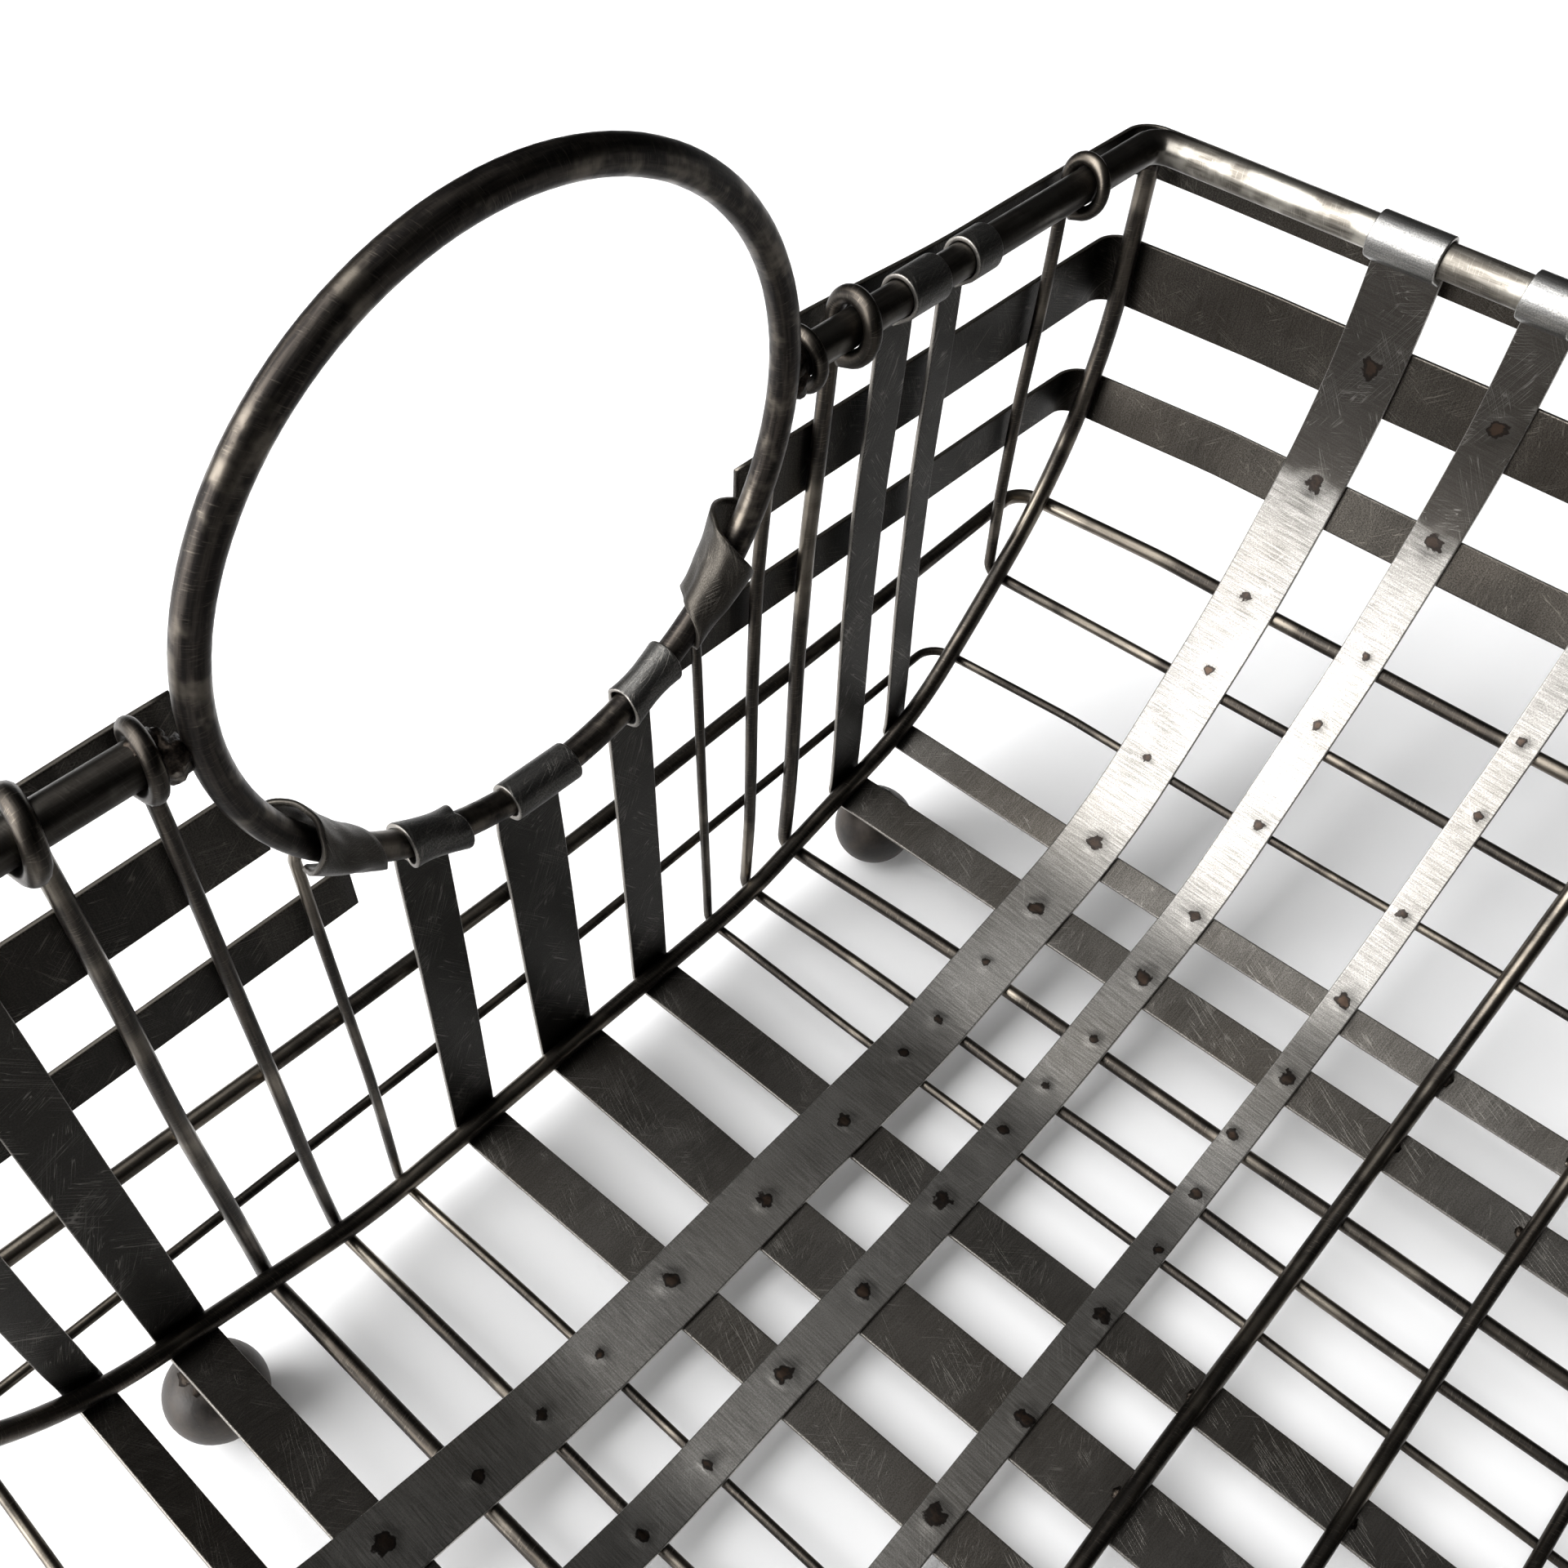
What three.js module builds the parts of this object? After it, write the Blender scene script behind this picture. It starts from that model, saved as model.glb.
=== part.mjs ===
import * as THREE from "three";

// A hand-welded strap-and-wire basket. Flat steel strips and round wires cross like a plaid,
// hang from a rod rim, and stand on four ball feet. A ring handle is welded into each end.
// Millimetres. +X runs along the basket, +Z is up, and the origin is on the ground under its middle.

// ---- stock sizes ----
const STRIP_THICKNESS = 1.2;
const WIDE = 19;
const MEDIUM = 13.2;
const NARROW = 9.3;
const THIN_WIRE = 2.7;
const MEDIUM_WIRE = 3.5;
const THICK_WIRE = 4.4;
const PROFILE_ROD = 5.4;
const RIM_ROD = 8.4;
const RING_ROD = 6.7;
const BALL_RADIUS = 13;
const BALL_FLAT_RADIUS = 3.6;

// ---- clearances between welded neighbours, which keep the solids apart ----
const GAP = 0.3;
const RING_HOOK_GAP = 1;

// ---- overall shape ----
const HALF_LENGTH = 336; // from the middle to the centre line of an end profile rod
const RIM_HEIGHT = 184.8; // from the seam of the floor, where the two layers meet, to the rim's centre
const RIM_CORNER = 6;
const BAND_CORNER = 7;
const HOOP_CORNER = 8;
const UPRIGHT_ABOVE_FLOOR = 18; // height at which a tilted floor strip has turned square to the wall
const FLOOR_BEND = 4;
const HOOK_END = -70; // degrees, where a hook's tail stops inside and under the rim
const HOOK_STEP = 31; // degrees from one station of a hook to the next

// The seam's curve from the middle of the floor up one side: each run bends by its turn, in degrees.
const SIDE_CURVE = [
  { run: 62, turn: 0 },
  { run: 28, turn: 14 },
  { run: 48, turn: 1 },
  { run: 42, turn: 30 },
  { run: 42, turn: 3 },
  { run: 92, turn: 42 },
  { run: 60, turn: 0 },
];
const CURVE_STEP = 15; // degrees of bend from one station to the next

// ---- ring handle: an upright oval that leans inward ----
const RING_HALF_WIDTH = 73.7;
const RING_HALF_HEIGHT = 69.3;
const RING_HEIGHT = 186.1; // its centre, above the floor's seam
const RING_INSET = 6; // its centre, inward from the end profile rod
const RING_LEAN = 3.3; // degrees
const RING_STEP_OUT = 16; // how far below the ring's centre line a strip has stepped out round it
const WIRE_BELOW_RING = 10; // a thin wire stops this far under the ring's centre line

// ---- members that run across the basket, inside: distance in from the end profile rod ----
const CROSS_STRIPS = [
  { inset: 73, width: WIDE },
  { inset: 110.5, width: MEDIUM },
  { inset: 160, width: NARROW },
  { inset: 300, width: MEDIUM },
  { inset: 336, width: WIDE },
];
const CROSS_RODS = [
  { inset: 192, diameter: 5 },
  { inset: 233, diameter: 4.2 },
  { inset: 272, diameter: 3.5 },
];

// ---- members that run along the basket, outside: distance along the side curve from the middle ----
const LONG_STRIPS = [
  { along: 152, width: NARROW },
  { along: 127, width: MEDIUM },
  { along: 35.5, width: MEDIUM },
  { along: 0, width: WIDE },
  { along: -33, width: MEDIUM },
  { along: -128.5, width: MEDIUM },
  { along: -153.5, width: NARROW },
];
const LONG_WIRES = [
  { along: 213, diameter: MEDIUM_WIRE },
  { along: 102, diameter: THICK_WIRE },
  { along: 81.2, diameter: MEDIUM_WIRE },
  { along: 61.5, diameter: THIN_WIRE },
  { along: -60.5, diameter: THIN_WIRE },
  { along: -81.3, diameter: MEDIUM_WIRE },
  { along: -103.7, diameter: THICK_WIRE },
  { along: -213, diameter: MEDIUM_WIRE },
];

// ---- bands and hoops around the outside ----
// Heights of the centre line above the floor's seam: along the side, at the corner, and at the middle of
// the end, where the hoops sag. The top band's ends flare outward.
const TOP_BAND_BACK = { height: 177.5, cornerHeight: 177.5, endHeight: 177.5, endsAt: 92, flare: 3.2 };
const TOP_BAND_FRONT = { height: 177.5, cornerHeight: 177.5, endHeight: 177.5, endsAt: 77, flare: 1.5 };
const WIDE_BAND = { height: 147.2, cornerHeight: 145.4, endHeight: 146.8, endsAt: 70, flare: 0 };
const MEDIUM_BAND = { height: 111, cornerHeight: 109.3, endHeight: 113, endsAt: 57, flare: 0 };
const THICK_HOOP = { height: 79, cornerHeight: 77.5, endHeight: 71, flare: 0 };
const THIN_HOOP = { height: 38.5, cornerHeight: 37, endHeight: 33.5, flare: 0 };
const SAG_RUN = 45; // distance along the side, past a corner, over which the height settles
const HOOP_SEAM = 0.4; // width of the butt joint where a hoop's ends meet

// ---- feet ----
const FOOT_ALONG = 127.5;
const FOOT_INSET = 8;

// ---- layers of the end walls, as distances outward from the end profile rod's centre line ----
const WALL_INNER = PROFILE_ROD / 2 + GAP;
const WALL_OUTER = WALL_INNER + THICK_WIRE + GAP;
const RIM_INSET = RIM_ROD / 2 + GAP - WALL_INNER;

// ---- layers of the side walls: offsets inward from the seam's curve ----
const RIM_OFFSET = STRIP_THICKNESS + GAP + RIM_ROD / 2;
const HOOKED_ROD_OFFSET = RIM_OFFSET - RIM_ROD / 2 - GAP; // inner edge of a rod that hooks over the rim
const TOP_BAND_OFFSET = HOOKED_ROD_OFFSET - CROSS_RODS[0].diameter - GAP - STRIP_THICKNESS / 2;
const BAND_OFFSET = -GAP - STRIP_THICKNESS / 2;
const JOGGLE_FROM = 158; // heights between which a hooked rod steps out past the rim
const JOGGLE_TO = 171;

// ---- fineness of the faceted solids ----
const RIM_SIDES = 10;
const PROFILE_SIDES = 8;
const WIRE_SIDES = 6;
const RING_STEPS = 36;
const BALL_SIDES = 16;
const BALL_RINGS = 9;
const FLOOR_BEND_DEGREES = [180, 210, 240, 270];
const CORNER_DEGREES = [180, 150, 120, 90];
const CURVE_LENGTH = 360; // longer than half the side curve

const radians = THREE.MathUtils.degToRad;
const X_AXIS = new THREE.Vector3(1, 0, 0);
const Y_AXIS = new THREE.Vector3(0, 1, 0);
const Z_AXIS = new THREE.Vector3(0, 0, 1);

// ---- the side curve ----

// Position and slope of the seam at a distance along the curve, moved inward by an offset.
function sidePoint(along, offset = 0) {
  let y = 0;
  let z = 0;
  let angle = 0;
  let left = Math.abs(along);
  for (const { run, turn } of SIDE_CURVE) {
    const used = Math.min(left, run);
    const bend = radians(turn) * (used / run);
    const chord = bend === 0 ? used : (2 * used * Math.sin(bend / 2)) / bend;
    y += chord * Math.cos(angle + bend / 2);
    z += chord * Math.sin(angle + bend / 2);
    angle += bend;
    left -= used;
  }
  const side = Math.sign(along) || 1;
  return {
    y: side * (y - offset * Math.sin(angle)),
    z: z + offset * Math.cos(angle),
    across: new THREE.Vector3(0, Math.cos(angle), side * Math.sin(angle)),
  };
}

// Distance along the curve at which a member with this offset reaches a height.
function alongAtHeight(height, offset = 0) {
  let low = 0;
  let high = CURVE_LENGTH;
  for (let step = 0; step < 40; step += 1) {
    const middle = (low + high) / 2;
    if (sidePoint(middle, offset).z < height) low = middle;
    else high = middle;
  }
  return low;
}

// Distances along the curve, from the floor's middle to a limit, that follow its bends closely enough.
function curveStops(limit) {
  const stops = [];
  let along = 0;
  for (const { run, turn } of SIDE_CURVE) {
    const pieces = Math.max(1, Math.round(turn / CURVE_STEP));
    for (let piece = 1; piece <= pieces; piece += 1) {
      const stop = along + (run * piece) / pieces;
      if (stop < limit - 1) stops.push(stop);
    }
    along += run;
  }
  return [...stops, limit];
}

const SEAM_Y = sidePoint(alongAtHeight(RIM_HEIGHT)).y; // where the seam is upright, at the rim
const RIM_Y = SEAM_Y - RIM_OFFSET;
const RIM_X = HALF_LENGTH - RIM_INSET;
const RING_X = HALF_LENGTH - RING_INSET;
const BALL_CENTRE_HEIGHT = Math.sqrt(BALL_RADIUS ** 2 - BALL_FLAT_RADIUS ** 2);
const BALL_SEAT = sidePoint(FOOT_ALONG, -GAP - STRIP_THICKNESS - GAP - BALL_RADIUS);
const FLOOR_Z = BALL_CENTRE_HEIGHT - BALL_SEAT.z;

// ---- sweeping a flat or round section along stations ----

// A station is a point on a member's centre line and the direction across the member there.
function station(x, y, z, across) {
  return { point: new THREE.Vector3(x, y, z), across };
}

class MemberPath extends THREE.Curve {
  constructor(stations) {
    super();
    this.stations = stations;
  }

  getSpacedPoints() {
    return this.stations.map(({ point }) => point.clone());
  }

  computeFrenetFrames() {
    const points = this.getSpacedPoints();
    const last = points.length - 1;
    const tangents = points.map((point, i) => {
      const before = points[Math.max(i - 1, 0)];
      const after = points[Math.min(i + 1, last)];
      const arriving = point.clone().sub(before).normalize();
      const leaving = after.clone().sub(point).normalize();
      return arriving.add(leaving).normalize();
    });
    const normals = this.stations.map(({ across }) => across);
    const binormals = tangents.map((tangent, i) => tangent.clone().cross(normals[i]).normalize());
    return { tangents, normals, binormals };
  }
}

function stripSection(width) {
  const section = new THREE.Shape();
  section.moveTo(-width / 2, -STRIP_THICKNESS / 2);
  section.lineTo(width / 2, -STRIP_THICKNESS / 2);
  section.lineTo(width / 2, STRIP_THICKNESS / 2);
  section.lineTo(-width / 2, STRIP_THICKNESS / 2);
  return section;
}

function rodSection(diameter, sides) {
  const corners = Array.from({ length: sides }, (_, i) => {
    const angle = ((i + 0.5) * 2 * Math.PI) / sides;
    return new THREE.Vector2((Math.cos(angle) * diameter) / 2, (Math.sin(angle) * diameter) / 2);
  });
  return new THREE.Shape(corners);
}

function sweep(section, stations) {
  return new THREE.ExtrudeGeometry(section, {
    steps: stations.length - 1,
    extrudePath: new MemberPath(stations),
  });
}

// ---- station lists ----

function mirrorX(stations) {
  return stations
    .map(({ point, across }) => station(-point.x, point.y, point.z, flipped(across, "x")))
    .reverse();
}

function mirrorY(stations) {
  return stations.map(({ point, across }) => station(point.x, -point.y, point.z, flipped(across, "y")));
}

function flipped(vector, axis) {
  const copy = vector.clone();
  copy[axis] *= -1;
  return copy;
}

// Angles of a hook from its tail round to where it runs straight down outside the rim.
function hookAngles() {
  const steps = Math.round((180 - HOOK_END) / HOOK_STEP);
  return Array.from({ length: steps + 1 }, (_, i) => radians(HOOK_END + ((180 - HOOK_END) * i) / steps));
}

// A member across the basket: hook, side, floor, side, hook. All of it lies at one X.
function crossStations(x, wallOffset, hookRadius, wallTop) {
  const hook = hookAngles().map((angle) => {
    const y = RIM_Y - hookRadius * Math.cos(angle);
    return station(x, y, RIM_HEIGHT + hookRadius * Math.sin(angle), X_AXIS);
  });
  const wallEnd = alongAtHeight(wallTop, wallOffset);
  const wall = [...curveStops(wallEnd)].reverse().map((along) => {
    const { y, z } = sidePoint(along, wallOffset);
    return station(x, y, z, X_AXIS);
  });
  const besideRim = station(x, RIM_Y + hookRadius, JOGGLE_TO, X_AXIS);
  const half = [...hook, besideRim, ...wall].map(lift);
  return [...half, ...mirrorY(half).reverse()];
}

function lift({ point, across }) {
  return station(point.x, point.y, point.z + FLOOR_Z, across);
}

// A bend of the given radius between the end wall and the floor, in the plane of one member.
function floorBend(wallX, floorZ) {
  const bend = [];
  for (const degrees of FLOOR_BEND_DEGREES) {
    const x = wallX + FLOOR_BEND + FLOOR_BEND * Math.cos(radians(degrees));
    const z = floorZ + FLOOR_BEND + FLOOR_BEND * Math.sin(radians(degrees));
    bend.push({ x, z });
  }
  return bend;
}

// A member along the basket, at one distance along the side curve, from hook to hook.
function longStations(along, thickness, top) {
  const { y, z, across } = sidePoint(along, -GAP - thickness / 2);
  const wallX = -HALF_LENGTH - WALL_INNER - thickness / 2;
  const bend = floorBend(wallX, z).map((corner) => station(corner.x, y, corner.z, across));
  const upright = station(wallX, y, z + UPRIGHT_ABOVE_FLOOR, Y_AXIS);
  const half = [...top(wallX, y, thickness), upright, ...bend].map(lift);
  return [...half, ...mirrorX(half)];
}

function rimHook(wallX, y, thickness) {
  const radius = RIM_ROD / 2 + GAP + thickness / 2;
  return hookAngles().map((angle) => {
    const x = -RIM_X + radius * Math.cos(angle);
    return station(x, y, RIM_HEIGHT + radius * Math.sin(angle), Y_AXIS);
  });
}

// The ring's centre line at a distance from the basket's middle, on its lower half.
function ringPoint(y) {
  const height = RING_HEIGHT - RING_HALF_HEIGHT * Math.sqrt(1 - (y / RING_HALF_WIDTH) ** 2);
  const slope = (RING_HALF_HEIGHT ** 2 * y) / (RING_HALF_WIDTH ** 2 * (RING_HEIGHT - height));
  return { x: -RING_X + Math.tan(radians(RING_LEAN)) * (height - RING_HEIGHT), z: height, slope };
}

function ringHook(wallX, y, thickness) {
  const ring = ringPoint(y);
  const radius = RING_ROD / 2 + RING_HOOK_GAP + thickness / 2;
  const across = new THREE.Vector3(0, 1, ring.slope);
  const tiltedRadius = radius * across.length(); // the sloping ring is taller in an upright section
  const hook = hookAngles().map((angle) => {
    const x = ring.x + radius * Math.cos(angle);
    return station(x, y, ring.z + tiltedRadius * Math.sin(angle), across);
  });
  return [...hook, station(wallX, y, ring.z - RING_STEP_OUT, Y_AXIS)];
}

function buttTop(wallX, y) {
  return [station(wallX, y, ringPoint(y).z - WIRE_BELOW_RING, Y_AXIS)];
}

// A member round one long side, from one end wall to the other. Its heights are those along the side, at
// the corner and where it ends, and its free end may flare outward.
function sideLoop(heights, { endX, endsAt, offset, corner, tilted }) {
  const { height, cornerHeight, endHeight, flare } = heights;
  const turn = sidePoint(alongAtHeight(cornerHeight, offset), offset);
  const side = sidePoint(alongAtHeight(height, offset), offset);
  const sideAcross = tilted ? side.across : Z_AXIS;
  const half = [station(-endX - flare, endsAt, endHeight, Z_AXIS)];
  for (const degrees of CORNER_DEGREES) {
    const share = (180 - degrees) / 90;
    const across = Z_AXIS.clone().lerp(sideAcross, share).normalize();
    const x = -endX + corner + corner * Math.cos(radians(degrees));
    const y = turn.y - corner + corner * Math.sin(radians(degrees));
    half.push(station(x, y, cornerHeight, across));
  }
  half.push(station(-endX + corner + SAG_RUN, side.y, height, sideAcross));
  return [...half, ...mirrorX(half)].map(lift);
}

// ---- sub-parts ----

const model = new THREE.Group();

const STRIP_STEEL = { color: 0x4a4845, roughness: 0.5, metalness: 0.9 };
const DARK_STEEL = { color: 0x2b2a28, roughness: 0.55, metalness: 0.9 };
const RIM_STEEL = { color: 0x5a5650, roughness: 0.4, metalness: 0.95 };
const BALL_IRON = { color: 0x26221e, roughness: 0.65, metalness: 0.8 };

function addPart(name, geometry, look) {
  const mesh = new THREE.Mesh(geometry, new THREE.MeshStandardMaterial(look));
  mesh.name = name;
  model.add(mesh);
  return mesh;
}

// Insets from both ends, in order along the basket; a member in the middle is not repeated.
function bothEnds(members) {
  const near = members.map((member) => ({ ...member, x: member.inset - HALF_LENGTH }));
  const far = near.filter(({ x }) => x < 0).map((member) => ({ ...member, x: -member.x }));
  return [...near, ...far.reverse()];
}

function addRim() {
  const level = { height: RIM_HEIGHT, cornerHeight: RIM_HEIGHT, endHeight: RIM_HEIGHT, flare: 0 };
  const stations = sideLoop(level, {
    endX: RIM_X,
    endsAt: RING_HALF_WIDTH + RING_ROD / 2 + GAP,
    offset: RIM_OFFSET,
    corner: RIM_CORNER,
    tilted: false,
  });
  addPart("rim_back", sweep(rodSection(RIM_ROD, RIM_SIDES), stations), RIM_STEEL);
  addPart("rim_front", sweep(rodSection(RIM_ROD, RIM_SIDES), mirrorY(stations)), RIM_STEEL);
}

function addRingHandles() {
  for (const [name, side] of [["ring_handle_left", -1], ["ring_handle_right", 1]]) {
    const ring = new THREE.TorusGeometry(RING_HALF_WIDTH, RING_ROD / 2, RIM_SIDES, RING_STEPS);
    ring.rotateY(Math.PI / 2).scale(1, 1, RING_HALF_HEIGHT / RING_HALF_WIDTH);
    const handle = addPart(name, ring, DARK_STEEL);
    handle.position.set(side * RING_X, 0, RING_HEIGHT + FLOOR_Z);
    handle.rotation.y = -side * radians(RING_LEAN);
  }
}

function addProfileRods() {
  const top = RIM_HEIGHT - RIM_ROD / 2 - GAP;
  const offset = PROFILE_ROD / 2;
  const half = [...curveStops(alongAtHeight(top, offset))].reverse().map((along) => {
    const { y, z } = sidePoint(along, offset);
    return lift(station(-HALF_LENGTH, y, z, X_AXIS));
  });
  const stations = [...half, ...mirrorY(half).reverse()];
  const section = rodSection(PROFILE_ROD, PROFILE_SIDES);
  addPart("end_rod_left", sweep(section, stations), DARK_STEEL);
  addPart("end_rod_right", sweep(section, mirrorX(stations)), DARK_STEEL);
}

function addCrossStrips() {
  const hookRadius = RIM_ROD / 2 + GAP + STRIP_THICKNESS / 2;
  bothEnds(CROSS_STRIPS).forEach(({ x, width }, i) => {
    const stations = crossStations(x, STRIP_THICKNESS / 2, hookRadius, JOGGLE_FROM);
    addPart(`cross_strip_${i + 1}`, sweep(stripSection(width), stations), STRIP_STEEL);
  });
}

function addCrossRods() {
  bothEnds(CROSS_RODS).forEach(({ x, diameter }, i) => {
    const hookRadius = RIM_ROD / 2 + GAP + diameter / 2;
    const stations = crossStations(x, diameter / 2, hookRadius, JOGGLE_FROM);
    addPart(`cross_rod_${i + 1}`, sweep(rodSection(diameter, WIRE_SIDES), stations), DARK_STEEL);
  });
}

function addLongStrips() {
  LONG_STRIPS.forEach(({ along, width }, i) => {
    const top = Math.abs(along) < RING_HALF_WIDTH ? ringHook : rimHook;
    const stations = longStations(along, STRIP_THICKNESS, top);
    addPart(`long_strip_${i + 1}`, sweep(stripSection(width), stations), STRIP_STEEL);
  });
}

function addLongWires() {
  LONG_WIRES.forEach(({ along, diameter }, i) => {
    const top = Math.abs(along) < RING_HALF_WIDTH ? buttTop : rimHook;
    const stations = longStations(along, diameter, top);
    addPart(`long_wire_${i + 1}`, sweep(rodSection(diameter, WIRE_SIDES), stations), DARK_STEEL);
  });
}

function bandStations(band, offset) {
  const endX = HALF_LENGTH + WALL_OUTER + STRIP_THICKNESS / 2;
  return sideLoop(band, { endX, endsAt: band.endsAt, offset, corner: BAND_CORNER, tilted: true });
}

function addBandPair(name, width, back, front) {
  addPart(`${name}_back`, sweep(stripSection(width), back), STRIP_STEEL);
  addPart(`${name}_front`, sweep(stripSection(width), mirrorY(front)), STRIP_STEEL);
}

function addBands() {
  const topBack = bandStations(TOP_BAND_BACK, TOP_BAND_OFFSET);
  const topFront = bandStations(TOP_BAND_FRONT, TOP_BAND_OFFSET);
  addBandPair("band_top", MEDIUM, topBack, topFront);
  const wide = bandStations(WIDE_BAND, BAND_OFFSET);
  addBandPair("band_wide", WIDE, wide, wide);
  const medium = bandStations(MEDIUM_BAND, BAND_OFFSET);
  addBandPair("band_medium", MEDIUM, medium, medium);
}

// A closed hoop, whose ends meet in a butt joint in the middle of one end wall.
function addHoop(name, hoop, diameter) {
  const back = sideLoop(hoop, {
    endX: HALF_LENGTH + WALL_OUTER + diameter / 2,
    endsAt: HOOP_SEAM / 2,
    offset: -GAP - diameter / 2,
    corner: HOOP_CORNER,
    tilted: false,
  });
  const withoutSeam = back.slice(0, -1);
  const stations = [...withoutSeam, ...mirrorY(withoutSeam).reverse()];
  addPart(name, sweep(rodSection(diameter, WIRE_SIDES), stations), DARK_STEEL);
}

// A ball with a small flat ground on it, where it stands.
function ballGeometry() {
  const flatAngle = Math.asin(BALL_FLAT_RADIUS / BALL_RADIUS);
  const profile = [new THREE.Vector2(0, -BALL_CENTRE_HEIGHT)];
  for (let i = 0; i < BALL_RINGS; i += 1) {
    const angle = flatAngle + ((Math.PI - flatAngle) * i) / BALL_RINGS;
    profile.push(new THREE.Vector2(BALL_RADIUS * Math.sin(angle), -BALL_RADIUS * Math.cos(angle)));
  }
  profile.push(new THREE.Vector2(0, BALL_RADIUS));
  return new THREE.LatheGeometry(profile, BALL_SIDES).rotateX(Math.PI / 2);
}

function addFeet() {
  let count = 0;
  for (const sideX of [-1, 1]) {
    for (const sideY of [-1, 1]) {
      count += 1;
      const foot = addPart(`ball_foot_${count}`, ballGeometry(), BALL_IRON);
      foot.position.set(sideX * (HALF_LENGTH - FOOT_INSET), sideY * BALL_SEAT.y, BALL_CENTRE_HEIGHT);
    }
  }
}

addRim();
addRingHandles();
addProfileRods();
addCrossStrips();
addCrossRods();
addLongStrips();
addLongWires();
addBands();
addHoop("hoop_thick", THICK_HOOP, THICK_WIRE);
addHoop("hoop_thin", THIN_HOOP, THIN_WIRE);
addFeet();

export default model;
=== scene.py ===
"""Looks for a strap-and-wire steel basket: every member swept again, in fine mesh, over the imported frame."""
import math
import random

import bmesh
import bpy
from mathutils import Matrix, Vector, noise


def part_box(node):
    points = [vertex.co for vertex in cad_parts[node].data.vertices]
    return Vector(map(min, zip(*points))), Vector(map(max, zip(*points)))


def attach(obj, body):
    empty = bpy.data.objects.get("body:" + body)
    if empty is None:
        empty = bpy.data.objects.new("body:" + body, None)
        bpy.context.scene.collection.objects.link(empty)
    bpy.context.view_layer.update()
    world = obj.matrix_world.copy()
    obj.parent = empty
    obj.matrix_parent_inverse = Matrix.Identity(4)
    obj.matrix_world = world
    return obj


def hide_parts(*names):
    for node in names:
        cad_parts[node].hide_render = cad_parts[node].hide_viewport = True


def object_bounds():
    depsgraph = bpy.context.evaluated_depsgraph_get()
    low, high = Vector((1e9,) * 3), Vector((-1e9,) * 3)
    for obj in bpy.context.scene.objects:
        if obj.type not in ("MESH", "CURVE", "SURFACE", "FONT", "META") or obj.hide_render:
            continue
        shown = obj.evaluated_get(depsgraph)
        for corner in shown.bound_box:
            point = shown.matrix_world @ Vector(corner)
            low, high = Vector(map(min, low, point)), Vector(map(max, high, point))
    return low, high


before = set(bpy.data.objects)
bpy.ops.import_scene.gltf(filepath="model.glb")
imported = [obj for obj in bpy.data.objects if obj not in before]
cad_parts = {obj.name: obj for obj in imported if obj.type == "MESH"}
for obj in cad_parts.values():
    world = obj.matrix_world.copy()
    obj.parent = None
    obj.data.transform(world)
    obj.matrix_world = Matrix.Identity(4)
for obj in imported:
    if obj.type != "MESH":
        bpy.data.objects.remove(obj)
CAD_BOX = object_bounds()
noise.seed_set(1)  # else wander's noise_vector is seeded by the time of day

# ---- units: lengths below are millimetres, and meshes are made in metres ----
MM = 0.001

# ---- stock sizes, as in the frame ----
THICKNESS = 1.2
THIN_WIRE = 2.7
MEDIUM_WIRE = 3.5
THICK_WIRE = 4.4
PROFILE_ROD = 5.4
RIM_ROD = 8.4
RING_ROD = 6.7
CROSS_ROD_SIZES = [5, 4.2, 3.5, 3.5, 4.2, 5]
LONG_WIRE_SIZES = [
    MEDIUM_WIRE, THICK_WIRE, MEDIUM_WIRE, THIN_WIRE, THIN_WIRE, MEDIUM_WIRE, THICK_WIRE, MEDIUM_WIRE,
]
EDGE_ROUNDING = 0.28
GAP = 0.3

# ---- overall shape, as in the frame ----
HALF_LENGTH = 336
RIM_HEIGHT = 184.8
RIM_CORNER = 6
BAND_CORNER = 7
HOOP_CORNER = 8
FLOOR_BEND = 4
SIDE_CURVE = [(62, 0), (28, 14), (48, 1), (42, 30), (42, 3), (92, 42), (60, 0)]
RING_HALF_WIDTH = 73.7
RING_HALF_HEIGHT = 69.3
RING_HEIGHT = 186.1
RING_X = HALF_LENGTH - 6
RING_LEAN = math.radians(3.3)
# Heights of the bands and hoops: along the side, at the corner, and at the middle of the end.
BANDS = {
    "band_top": {"heights": (177.5, 177.5, 177.5), "width": 13.2, "ends_at": 92, "front_ends_at": 70},
    "band_wide": {"heights": (147.2, 145.4, 146.8), "width": 19, "ends_at": 75, "front_ends_at": 63},
    "band_medium": {"heights": (111, 109.3, 113), "width": 13.2, "ends_at": 50, "front_ends_at": 48},
}
THICK_HOOP = (79, 77.5, 71)
THIN_HOOP = (38.5, 37, 33.5)
SAG_RUN = 45  # how far from a corner a band or hoop takes to reach its height along the side
TOP_BAND_FLARES = {"back": 3.2, "front": 1.5}
WALL_INNER = PROFILE_ROD / 2 + GAP
WALL_OUTER = WALL_INNER + THICK_WIRE + GAP
RIM_X = HALF_LENGTH + WALL_INNER - RIM_ROD / 2 - GAP
RIM_OFFSET = THICKNESS + GAP + RIM_ROD / 2
TOP_BAND_OFFSET = RIM_OFFSET - RIM_ROD / 2 - GAP - CROSS_ROD_SIZES[0] - GAP - THICKNESS / 2
BAND_OFFSET = -GAP - THICKNESS / 2
JOGGLE_FROM = 158  # heights between which a member across steps out past the rim
JOGGLE_TO = 171
UPRIGHT_ABOVE_FLOOR = 18
RING_STEP_OUT = 16
FLOOR_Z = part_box("cross_strip_5")[0].z / MM

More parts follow.
